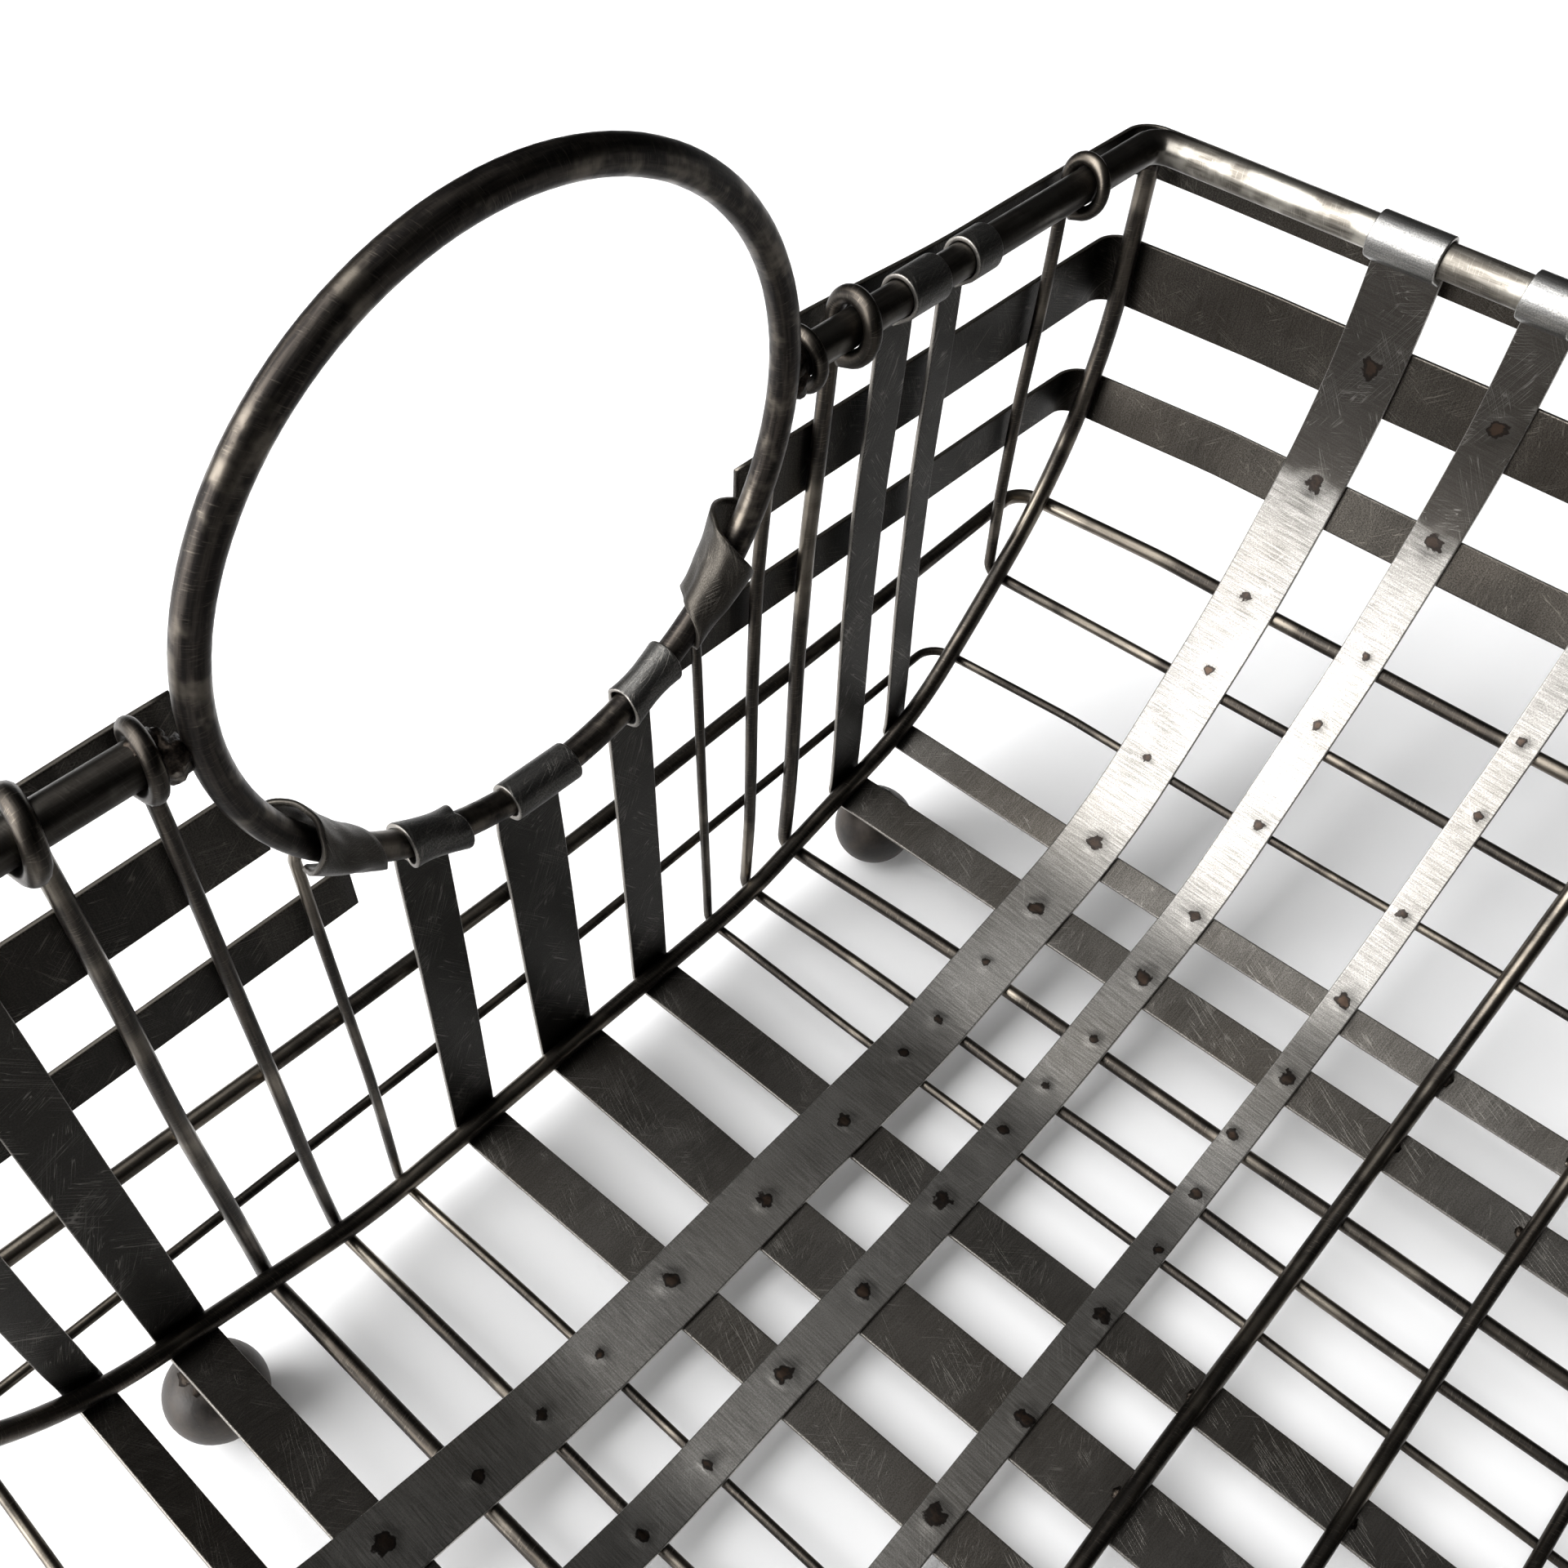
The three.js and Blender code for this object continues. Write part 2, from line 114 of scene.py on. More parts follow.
# ---- hooks: the angle they start at, below the rod on its inner side, and the straight tail before it ----
SLEEVE_START = -60
SIDE_SLEEVE_TAIL = 5.2
END_SLEEVE_TAIL = 4.5
RING_SLEEVE_START = -80
RING_SLEEVE_TAIL = 1.5
WIRE_START = -80
WIRE_TAIL = 2.5
ROD_START = -70

# ---- the wide band's end, wound round the ring ----
WRAP_TOP = math.radians(63)  # where its first row starts on the ring, from the lowest point
WRAP_TO = -25  # degrees round the ring's rod at which it ends
WRAP_DROP = 16
WRAP_LENGTH = 20
WRAP_GAP = 0.75
WRAP_ROW = 1.6  # how far apart its rows lie in its map

# ---- hand-made unevenness: how far each kind of member wanders ----
STRIP_WANDER = 0.5
LONG_STRIP_WANDER = 0.4
ROD_WANDER = 0.8
LONG_WIRE_WANDER = 0.9
HOOP_WANDER = 0.45
END_ROD_WANDER = 0.4

# ---- weld marks ----
STRIP_MARK = 2.3
WIRE_MARK = 1.5
MARK_RISE = 4.5

# ---- mesh fineness ----
RIM_SIDES = 28
RING_SIDES = 24
RING_STEPS = 120
END_ROD_SIDES = 20
ROD_SIDES = 16
LONG_WIRE_SIDES = 14
WRAP_STEPS_ROUND = 48
WRAP_STEPS_ACROSS = 14
CURVE_STEP = 4
WALL_STEP = 2
HOOK_STEP = 10
COLUMN = 1.2
SPOT_STEP = 0.8
SPOT_REACH = 3.4

# ---- what a mesh says where no weld mark or end is near, and where all of it is end ----
UNMARKED = 4.0
END_FAR = 100.0
END_NEAR = 20.0

X_AXIS = Vector((1, 0, 0))
Y_AXIS = Vector((0, 1, 0))
Z_AXIS = Vector((0, 0, 1))


# ---- the side curve ----

def side_point(along, offset=0.0):
    """Position and slope of the floor's seam at a distance along the curve, moved inward by an offset."""
    y = z = angle = 0.0
    left = abs(along)
    for run, turn in SIDE_CURVE:
        used = min(left, run)
        bend = math.radians(turn) * used / run
        chord = used if bend == 0 else 2 * used * math.sin(bend / 2) / bend
        y += chord * math.cos(angle + bend / 2)
        z += chord * math.sin(angle + bend / 2)
        angle += bend
        left -= used
    side = -1 if along < 0 else 1
    y = side * (y - offset * math.sin(angle))
    z = z + offset * math.cos(angle)
    return y, z, Vector((0, math.cos(angle), side * math.sin(angle)))


def solve(reaches):
    """The distance along the side curve at which a rising test first holds."""
    low, high = 0.0, 360.0
    for _ in range(40):
        middle = (low + high) / 2
        if reaches(middle):
            high = middle
        else:
            low = middle
    return low


def along_at_height(height, offset=0.0):
    return solve(lambda along: side_point(along, offset)[1] >= height)


def along_at_y(y, offset):
    return math.copysign(solve(lambda along: side_point(along, offset)[0] >= abs(y)), y)


SEAM_Y = side_point(along_at_height(RIM_HEIGHT))[0]
RIM_Y = SEAM_Y - RIM_OFFSET


# ---- small helpers ----

def smoothstep(low, high, value):
    share = min(max((value - low) / (high - low), 0), 1)
    return share * share * (3 - 2 * share)


def spread(first, last, step):
    """Values from first to last, evenly spaced by at most one step."""
    count = max(1, math.ceil(abs(last - first) / step))
    return [first + (last - first) * i / count for i in range(count + 1)]


def middle(node):
    """The middle of a node of the frame, in millimetres."""
    low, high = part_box(node)
    return (low + high) / 2 / MM


def width_of(node, axis):
    low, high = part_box(node)
    return (high - low)[axis] / MM


def flipped(stops, axis):
    """The stops mirrored along an axis."""
    flip = Matrix.Scale(-1, 3, axis)
    return [(flip @ point, flip @ direction) for point, direction in stops]


def mirror_x(stops):
    return flipped(stops, X_AXIS)[::-1]


def mirror_y(stops):
    return flipped(stops, Y_AXIS)[::-1]


def lifted(stops):
    return [(p + Z_AXIS * FLOOR_Z, a) for p, a in stops]


def distances(stops):
    """Distance along the centre line at each stop."""
    total = [0.0]
    for (before, _), (after, _) in zip(stops, stops[1:]):
        total.append(total[-1] + (after - before).length)
    return total


def resample(stops, wanted):
    """The stops at the wanted distances along the line, straight between the given ones."""
    have = distances(stops)
    result = []
    i = 0
    for distance in wanted:
        while i < len(have) - 2 and have[i + 1] < distance:
            i += 1
        share = (distance - have[i]) / max(have[i + 1] - have[i], 1e-9)
        result.append((stops[i][0].lerp(stops[i + 1][0], share), stops[i][1].lerp(stops[i + 1][1], share)))
    return result


def wander(stops, amount, seed, loop=False):
    """Bends a line by a slow hand-made unevenness, which fades out at its ends."""
    have = distances(stops)
    result = []
    for (point, across), distance in zip(stops, have):
        fade = 1 if loop else smoothstep(0, 40, distance) * smoothstep(0, 40, have[-1] - distance)
        shift = noise.noise_vector(point / 70 + Vector((seed * 7.3, seed * 1.9, 0)))
        result.append((point + shift * amount * fade, across))
    return result


# ---- meshes swept along stops ----

def strip_section(width):
    """Outline of a flat strip, with rounded edges: across, out, and distance in from the edge."""
    half = width / 2
    depth = THICKNESS / 2
    inner = half - EDGE_ROUNDING
    flat = [-inner, -inner + 0.25]
    flat += spread(-inner + 0.25, inner - 0.25, COLUMN)[1:-1]
    flat += [inner - 0.25, inner]
    top = [(u, depth) for u in flat]
    corner = EDGE_ROUNDING * (1 - math.sqrt(0.5))
    right = [
        (half - corner, depth - corner), (half, depth - EDGE_ROUNDING),
        (half, -depth + EDGE_ROUNDING), (half - corner, -depth + corner),
    ]
    bottom = [(u, -depth) for u in reversed(flat)]
    left = [(-u, -v) for u, v in right]
    outline = top + right + bottom + left
    return [(u, v, half - abs(u)) for u, v in outline]


def rod_section(diameter, sides):
    outline = []
    for i in range(sides):
        angle = 2 * math.pi * i / sides
        outline.append((math.cos(angle) * diameter / 2, math.sin(angle) * diameter / 2, diameter))
    return outline


def sweep(name, section, stops, spots=(), loop=False):
    """A mesh from a section carried along stops, with its own map in millimetres and its weld distances.

    spots are weld marks: distance along, across, radius. They are pushed in, with a raised rim.
    """
    points = [p for p, _ in stops]
    have = distances(stops)
    count = len(stops)
    vertices = []
    weld = []
    edge = []
    to_end = []
    perimeter = [0.0]
    for (u0, v0, _), (u1, v1, _) in zip(section, section[1:] + section[:1]):
        perimeter.append(perimeter[-1] + math.hypot(u1 - u0, v1 - v0))
    for i, (point, across) in enumerate(stops):
        before = points[i - 1] if (i or loop) else points[0]
        after = points[(i + 1) % count] if (i < count - 1 or loop) else points[-1]
        tangent = ((point - before).normalized() + (after - point).normalized()).normalized()
        size = across.length
        side = (across - tangent * across.dot(tangent)).normalized()
        out = side.cross(tangent)
        near = [spot for spot in spots if abs(spot[0] - have[i]) < 4 * spot[2]]
        for k, (u, v, inset) in enumerate(section):
            nearest = UNMARKED
            for along, sideways, radius in near:
                nearest = min(nearest, math.hypot(have[i] - along, u - sideways) / radius)
            dent = 0.0
            if nearest < 1.6 and inset > 0.2:
                dent = 0.16 * smoothstep(1.6, 1.15, nearest) - 0.34 * smoothstep(1.05, 0.6, nearest)
            place = point + side * u * size + out * (v + math.copysign(dent, v))
            vertices.append(place * MM)
            weld.append(nearest)
            edge.append(inset)
            to_end.append(END_FAR if loop else min(have[i], have[-1] - have[i]))
    around = len(section)
    faces = []
    maps = []
    for i in range(count if loop else count - 1):
        j = (i + 1) % count
        start = have[i]
        end = have[j] if j else have[-1] + (points[0] - points[-1]).length
        for k in range(around):
            m = (k + 1) % around
            faces.append((i * around + k, i * around + m, j * around + m, j * around + k))
            left, right = perimeter[k], perimeter[k + 1]
            maps.append([(left, start), (right, start), (right, end), (left, end)])
    if not loop:
        last = (count - 1) * around
        faces.append(tuple(range(around - 1, -1, -1)))
        maps.append([(section[k][0], section[k][1]) for k in range(around - 1, -1, -1)])
        faces.append(tuple(range(last, last + around)))
        maps.append([(section[k][0], have[-1] + section[k][1]) for k in range(around)])
    return make_mesh(name, vertices, faces, maps, {"weld": weld, "edge": edge, "end": to_end})


def boxed(point):
    """A point moved into the frame's own box, should it lie outside."""
    return Vector([min(max(value, low), high) for value, low, high in zip(point, *CAD_BOX)])


def linked(name, data):
    """A new object in the scene."""
    made = bpy.data.objects.new(name, data)
    bpy.context.scene.collection.objects.link(made)
    return made


def smooth_object(name, bm):
    """An object from a finished round body, with smooth faces."""
    for face in bm.faces:
        face.smooth = True
    mesh = bpy.data.meshes.new(name)
    bm.to_mesh(mesh)
    bm.free()
    return linked(name, mesh)


def make_mesh(name, vertices, faces, maps, marks):
    """A mesh object, kept inside the frame's box, with its map and the distances that its steel reads."""
    mesh = bpy.data.meshes.new(name)
    mesh.from_pydata([boxed(vertex) for vertex in vertices], [], faces)
    layer = mesh.uv_layers.new(name="member")
    flat = [value for corner in maps for pair in corner for value in pair]
    layer.data.foreach_set("uv", flat)
    for label, values in marks.items():
        attribute = mesh.attributes.new(label, "FLOAT", "POINT")
        attribute.data.foreach_set("value", values)
    mesh.polygons.foreach_set("use_smooth", [True] * len(mesh.polygons))
    bm = bmesh.new()
    bm.from_mesh(mesh)
    bmesh.ops.recalc_face_normals(bm, faces=bm.faces)
    bm.to_mesh(mesh)
    bm.free()
    mesh.update()
    return linked(name, mesh)


def fit(piece, material, slot, *nodes):
    """Gives a piece its steel and its place in the frame."""
    piece.data.materials.append(material)
    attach(piece, "root")
    if nodes:
        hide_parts(*nodes)
    return piece


def with_spots(stops, spots):
    """Adds stops close together round each weld mark, so that its dent can be shaped."""
    have = distances(stops)
    wanted = set(round(value, 3) for value in have)
    for along, _, radius in spots:
        reach = SPOT_REACH * radius / 2.2
        for value in spread(along - reach, along + reach, SPOT_STEP):
            if 0 < value < have[-1]:
                wanted.add(round(value, 3))
    tidy = []
    for value in sorted(wanted):
        if not tidy or value - tidy[-1] > 0.3:
            tidy.append(value)
    tidy[-1] = have[-1]
    return resample(stops, tidy)


# ---- centre lines ----

def side_hook(x, radius, start, tail):
    """From a hook's tail inside and under a side rim, over the rim, to where it runs down outside."""
    stops = []
    first = math.radians(start)
    if tail:
        heading = Vector((0, -math.sin(first), -math.cos(first)))
        foot = Vector((x, RIM_Y - radius * math.cos(first), RIM_HEIGHT + radius * math.sin(first)))
        stops += [(foot + heading * d, X_AXIS) for d in (tail, tail * 0.6, tail * 0.25)]
    for degrees in spread(start, 180, HOOK_STEP):
        angle = math.radians(degrees)
        y = RIM_Y - radius * math.cos(angle)
        stops.append((Vector((x, y, RIM_HEIGHT + radius * math.sin(angle))), X_AXIS))
    return stops


def cross_stops(x, offset, radius, start, tail=0.0):
    """A member across the basket, from hook to hook."""
    stops = side_hook(x, radius, start, tail)
    outside = RIM_Y + radius
    wall_top = along_at_height(JOGGLE_FROM, offset)
    inside = side_point(wall_top, offset)[0]
    for z in spread(RIM_HEIGHT - 2, JOGGLE_FROM, 3)[:-1]:
        share = smoothstep(JOGGLE_FROM, JOGGLE_TO, z)
        stops.append((Vector((x, inside + (outside - inside) * share, z)), X_AXIS))
    for along in spread(wall_top, 0, CURVE_STEP):
        y, z, _ = side_point(along, offset)
        stops.append((Vector((x, y, z)), X_AXIS))
    return lifted(stops + mirror_y(stops)[1:])


def leaned(stops, lean):
    """A member across the basket, its back wall part leaning along the basket, more the higher it is."""
    moved = []
    for point, across in stops:
        share = smoothstep(105, 185, point.z) if point.y > 0 else 0
        moved.append((point + X_AXIS * lean * share, across))
    return moved


def ring_point(y):
    """The ring's centre line at a distance from the basket's middle, on its lower half."""
    z = RING_HEIGHT - RING_HALF_HEIGHT * math.sqrt(1 - (y / RING_HALF_WIDTH) ** 2)
    slope = RING_HALF_HEIGHT ** 2 * y / (RING_HALF_WIDTH ** 2 * (RING_HEIGHT - z))
    return -RING_X + math.tan(RING_LEAN) * (z - RING_HEIGHT), z, slope


def rim_hook(wall_x, y, thickness, start, tail, drift):
    """A hook over the end rim. Its tail drifts sideways, as a wire bent by hand does."""
    radius = RIM_ROD / 2 + GAP / 2 + thickness / 2
    stops = []
    for degrees in spread(start, 180, HOOK_STEP):
        angle = math.radians(degrees)
        sideways = y + drift * (1 - smoothstep(start, 150, degrees))
        x = -RIM_X + radius * math.cos(angle)
        stops.append((Vector((x, sideways, RIM_HEIGHT + radius * math.sin(angle))), Y_AXIS))
    stops = tail_of(stops, tail) + stops
    stops.append((Vector((wall_x, y, RIM_HEIGHT - 5)), Y_AXIS))
    return stops


def tail_of(stops, length):
    """A straight tail before the first stop, in the direction that the hook ends in."""
    if not length:
        return []
    heading = (stops[0][0] - stops[1][0]).normalized()
    return [(stops[0][0] + heading * length * share, stops[0][1]) for share in (1, 0.6, 0.25)]


def ring_hook(wall_x, y, thickness, start, tail, _drift):
    """A strip's sleeve round the ring, and its step out to the wall below."""
    x_ring, z_ring, slope = ring_point(y)
    radius = RING_ROD / 2 + 0.2 + thickness / 2
    across = Vector((0, 1, slope))
    tilted = radius * across.length
    stops = []
    for degrees in spread(start, 180, HOOK_STEP):
        angle = math.radians(degrees)
        x = x_ring + radius * math.cos(angle)
        stops.append((Vector((x, y, z_ring + tilted * math.sin(angle))), across))
    stops = tail_of(stops, tail) + stops
    below = z_ring - RING_STEP_OUT
    x_top = x_ring - radius
    for share in (0.2, 0.4, 0.6, 0.8, 1):
        x = x_top + (wall_x - x_top) * smoothstep(0, 1, share)
        z = z_ring + (below - z_ring) * share
        stops.append((Vector((x, y, z)), across.lerp(Y_AXIS, share)))
    return stops


def butt_top(wall_x, y, *_hook):
    """A thin wire's top, which leans against the ring from below and has no hook."""
    x_ring, z_ring, _ = ring_point(y)
    return [(Vector((x_ring - 3.6, y, z_ring - 1)), Y_AXIS), (Vector((wall_x, y, z_ring - 12)), Y_AXIS)]


def long_stops(y, along, thickness, look, start, tail):
    """A member along the basket, from hook to hook.

    look has the kind of top, how far the wall part leans sideways (foot, head), how far the hook's tail
    drifts, and its crook, if any.
    """
    _, z, across = side_point(along, -GAP - thickness / 2)
    wall_x = -HALF_LENGTH - WALL_INNER - thickness / 2
    foot_lean, head_lean = look["lean"]
    crook = look.get("crook")
    stops = look["top"](wall_x, y + head_lean, thickness, start, tail, look.get("drift", 0))
    head = stops[-1][0]
    foot_z = z + FLOOR_BEND
    for height in spread(head.z, foot_z, WALL_STEP)[1:]:
        share = (head.z - height) / (head.z - foot_z)
        place = y + head_lean + (foot_lean - head_lean) * share
        if crook:
            place += crook(height)
        twist = smoothstep(UPRIGHT_ABOVE_FLOOR, FLOOR_BEND, height - z)
        stops.append((Vector((wall_x, place, height)), Y_AXIS.lerp(across, twist)))
    foot_y = stops[-1][0].y
    for degrees in range(195, 271, 15):
        angle = math.radians(degrees)
        x = wall_x + FLOOR_BEND + FLOOR_BEND * math.cos(angle)
        stops.append((Vector((x, foot_y, z + FLOOR_BEND + FLOOR_BEND * math.sin(angle))), across))
    for x in spread(wall_x + FLOOR_BEND, 0, 8)[1:]:
        settle = smoothstep(wall_x + FLOOR_BEND, wall_x + 90, x)
        stops.append((Vector((x, foot_y + (y - foot_y) * settle, z)), across))
    return lifted(stops + mirror_x(stops)[1:])


def side_loop(heights, end_x, ends_at, offset, corner, tilted, bow=None):
    """A member round the back long side, from one end wall to the other.

    heights are those along the side, at the corner and at the middle of the end. bow(y) moves the end's run
    outward.
    """
    height, corner_height, end_height = heights
    y_turn, _, _ = side_point(along_at_height(corner_height, offset), offset)
    y_side, _, across = side_point(along_at_height(height, offset), offset)
    side_across = across if tilted else Z_AXIS
    start = y_turn - corner
    stops = []
    for y in spread(ends_at, start, 4)[:-1]:
        out = bow(y) if bow else 0
        z = end_height + (corner_height - end_height) * (y / start) ** 1.5
        stops.append((Vector((-end_x - out, y, z)), Z_AXIS))
    for degrees in spread(180, 90, 7):
        angle = math.radians(degrees)
        turned = Z_AXIS.lerp(side_across, (180 - degrees) / 90).normalized()
        x = -end_x + corner + corner * math.cos(angle)
        stops.append((Vector((x, start + corner * math.sin(angle), corner_height)), turned))
    for x in spread(-end_x + corner, 0, 6)[1:]:
        share = min((x + end_x - corner) / SAG_RUN, 1)
        y = y_turn + (y_side - y_turn) * share
        stops.append((Vector((x, y, corner_height + (height - corner_height) * share)), side_across))
    return lifted(stops + mirror_x(stops)[1:])


# ---- materials ----

# Metres from the middle between which painted shade sets in over the end walls, and metres above the ground
# between which the upper sides darken, partly a real brown tint and partly painted shade.
STRIP_PAINTED_SHADE_ENDS = (0.325, 0.337)
ROD_PAINTED_SHADE_ENDS = (0.318, 0.331)
HIGH_TINT_AND_SHADE_HEIGHTS = (0.136, 0.143)
# Millimetres from a strip's end at which its sleeve's colour starts to fade, and is gone.
SLEEVE_FADE = 24
SLEEVE_END = 26


class Steel:
    """A node tree built up in steps: the colour, roughness and relief of one kind of worked steel."""

    def __init__(self, name):
        self.material = bpy.data.materials.new(name)
        self.material.use_nodes = True
        self.tree = self.material.node_tree
        self.shader = self.tree.nodes["Principled BSDF"]

    def node(self, kind, **settings):
        made = self.tree.nodes.new(kind)
        for key, value in settings.items():
            setattr(made, key, value)
        return made

    def plug(self, socket, value):
        if isinstance(value, bpy.types.NodeSocket):
            self.tree.links.new(value, socket)
        else:
            socket.default_value = value

    def map(self, across=1.0, along=1.0, turn=0.0):
        """The member's own map in millimetres, turned and scaled."""
        source = self.node("ShaderNodeUVMap", uv_map="member")
        turned = self.node("ShaderNodeMapping")
        turned.inputs["Rotation"].default_value = (0, 0, math.radians(turn))
        self.plug(turned.inputs["Vector"], source.outputs["UV"])
        scaled = self.node("ShaderNodeMapping")
        scaled.inputs["Scale"].default_value = (across, along, 1)
        self.plug(scaled.inputs["Vector"], turned.outputs["Vector"])
        return scaled.outputs["Vector"]

    def space(self):
        return self.node("ShaderNodeTexCoord").outputs["Object"]

    def coordinate(self, axis):
        """Where a point is along an axis of the frame, in metres."""
        split = self.node("ShaderNodeSeparateXYZ")
        self.plug(split.inputs[0], self.space())
        return split.outputs[axis]

    def endward(self):
        """How far a point is from the basket's middle towards an end, in metres."""
        return self.math("ABSOLUTE", self.coordinate(0))

    def noise(self, vector, scale=1.0, detail=3.0, roughness=0.55):
        made = self.node("ShaderNodeTexNoise")
        self.plug(made.inputs["Vector"], vector)
        made.inputs["Scale"].default_value = scale
        made.inputs["Detail"].default_value = detail
        made.inputs["Roughness"].default_value = roughness
        return made.outputs["Fac"]

    def attribute(self, name):
        return self.node("ShaderNodeAttribute", attribute_name=name).outputs["Fac"]

    def ramp(self, value, low, high, to_low=0.0, to_high=1.0):
        made = self.node("ShaderNodeMapRange", interpolation_type="SMOOTHSTEP")
        for key, number in (("From Min", low), ("From Max", high), ("To Min", to_low), ("To Max", to_high)):
            made.inputs[key].default_value = number
        self.plug(made.inputs["Value"], value)
        return made.outputs["Result"]

    def math(self, operation, first, second=0.0):
        made = self.node("ShaderNodeMath", operation=operation)
        self.plug(made.inputs[0], first)
        self.plug(made.inputs[1], second)
        return made.outputs[0]

    def mix(self, share, first, second):
        made = self.node("ShaderNodeMix", data_type="RGBA")
        self.plug(made.inputs["Factor"], share)
        self.plug(made.inputs[6], (*first, 1) if isinstance(first, tuple) else first)
        self.plug(made.inputs[7], (*second, 1) if isinstance(second, tuple) else second)
        return made.outputs[2]

    def scratches(self, turn, along, density, sharpness=0.015):
        """Sparse fine lines at a slant: where a stretched noise crosses its middle value."""
        lines = self.noise(self.map(1.1, along, turn), 1.0, 1.0, 0.3)
        offset = self.math("ABSOLUTE", self.math("SUBTRACT", lines, 0.5))
        thin = self.ramp(offset, 0.0, sharpness, 1.0, 0.0)
        kept = self.ramp(self.noise(self.map(0.08, 0.05, turn + 17), 1.0, 1.0), density, density + 0.06)
        return self.math("MULTIPLY", thin, kept)

    def finish(self, colour, roughness, height, relief, metallic=1.0):
        self.plug(self.shader.inputs["Base Color"], colour)
        self.plug(self.shader.inputs["Roughness"], roughness)
        self.shader.inputs["Metallic"].default_value = metallic
        bump = self.node("ShaderNodeBump")
        bump.inputs["Strength"].default_value = 1.0
        bump.inputs["Distance"].default_value = relief * MM
        self.plug(bump.inputs["Height"], height)
        self.plug(self.shader.inputs["Normal"], bump.outputs["Normal"])
        return self.material


def strip_steel(
    name, dark, light, warm, brushed, speckled, rough, scored, sleeve, painted_end_shade=0.0, high_tint_and_painted_shade=0.0,
):
    """Strip steel: mottled, brushed across, speckled and scratched, with painted highlights along its edges,
    and weld marks.

    The end shade setting paints shade over the end walls, the high setting darkens the upper part of the sides
    with a real brown tint deepened by painted shade, and sleeve colours the hooks.
    """
    steel = Steel(name)
    mottle = steel.noise(steel.space(), 45, 4, 0.6)
    cloud = steel.noise(steel.space(), 14, 2, 0.5)
    fine = steel.noise(steel.map(0.12, 5.5), 1.0, 3, 0.7)
    coarse = steel.noise(steel.map(0.07, 1.7, 3), 1.0, 2, 0.6)
    brush = steel.math("ADD", steel.math("MULTIPLY", fine, 0.6), steel.math("MULTIPLY", coarse, 0.4))
    speckle = steel.noise(steel.map(2.6, 2.6), 1.0, 2, 0.6)
    bright = tuple(min(value * 2.1, 1) for value in light)
    ground = steel.mix(steel.ramp(mottle, 0.3, 0.7), dark, light)
    ground = steel.mix(steel.ramp(cloud, 0.42, 0.72, 0, 0.6), ground, warm)
    hook = steel.math("ADD", steel.attribute("end"), steel.math("MULTIPLY", mottle, 3))
    ground = steel.mix(steel.ramp(hook, SLEEVE_END, SLEEVE_FADE, 0, 0.85), ground, sleeve)
    ground = steel.mix(steel.ramp(brush, 0.38, 0.64, 0, brushed), ground, bright)
    grain = steel.ramp(speckle, 0.3, 0.72, 0, speckled)
    ground = steel.mix(grain, ground, tuple(value * 0.42 for value in dark))
    # Painted shade: the end walls are darkened towards a quarter of the dark colour.
    if painted_end_shade:
        end = steel.ramp(steel.endward(), *STRIP_PAINTED_SHADE_ENDS, 0, painted_end_shade)
        end = steel.math("MULTIPLY", end, steel.ramp(hook, SLEEVE_FADE, SLEEVE_END))
        ground = steel.mix(end, ground, tuple(value * 0.25 for value in dark))
    # The upper part of the strips across darkens to dark brown: partly the steel's real tint, partly painted
    # shade.
    if high_tint_and_painted_shade:
        high = steel.math("ADD", steel.coordinate(2), steel.math("MULTIPLY", mottle, 0.02))
        high = steel.ramp(high, *HIGH_TINT_AND_SHADE_HEIGHTS, 0, high_tint_and_painted_shade)
        upper = steel.math("MULTIPLY", high, steel.ramp(hook, SLEEVE_FADE, SLEEVE_END))
        ground = steel.mix(upper, ground, (0.03, 0.026, 0.022))
    lines = steel.math("MAXIMUM", steel.scratches(24, 0.05, 0.5), steel.scratches(-38, 0.035, 0.52))
    lines = steel.math("MAXIMUM", lines, steel.scratches(68, 0.06, 0.55))
    ground = steel.mix(steel.math("MULTIPLY", lines, scored), ground, bright)
    # Painted highlight: a thin band along each edge is lightened towards the bright colour.
    rim = steel.math("ADD", steel.attribute("edge"), steel.math("MULTIPLY", speckle, 0.5))
    ground = steel.mix(steel.ramp(rim, 0.55, 0.25, 0, 0.75), ground, bright)
    ragged = steel.math("SUBTRACT", steel.noise(steel.space(), 330, 3), 0.5)
    near = steel.math("ADD", steel.attribute("weld"), steel.math("MULTIPLY", ragged, 2.6))
    halo = steel.ramp(near, 2.4, 1.0, 0, 0.3)
    ground = steel.mix(halo, ground, tuple(value * 0.55 for value in dark))
    ground = steel.mix(steel.ramp(near, 1.15, 0.95, 0, 0.95), ground, (0.02, 0.016, 0.014))
    rust = steel.math("MULTIPLY", steel.ramp(near, 0.75, 0.4), steel.ramp(mottle, 0.4, 0.6, 0.2, 0.6))
    ground = steel.mix(rust, ground, (0.085, 0.055, 0.038))
    roughness = steel.ramp(speckle, 0.25, 0.75, rough - 0.05, rough + 0.1)
    relief = steel.math("MULTIPLY", brush, 0.8 * brushed)
    height = steel.math("ADD", relief, steel.math("MULTIPLY", speckle, 0.5))
    height = steel.math("SUBTRACT", height, steel.math("MULTIPLY", lines, scored))
    return steel.finish(ground, roughness, height, 0.035)


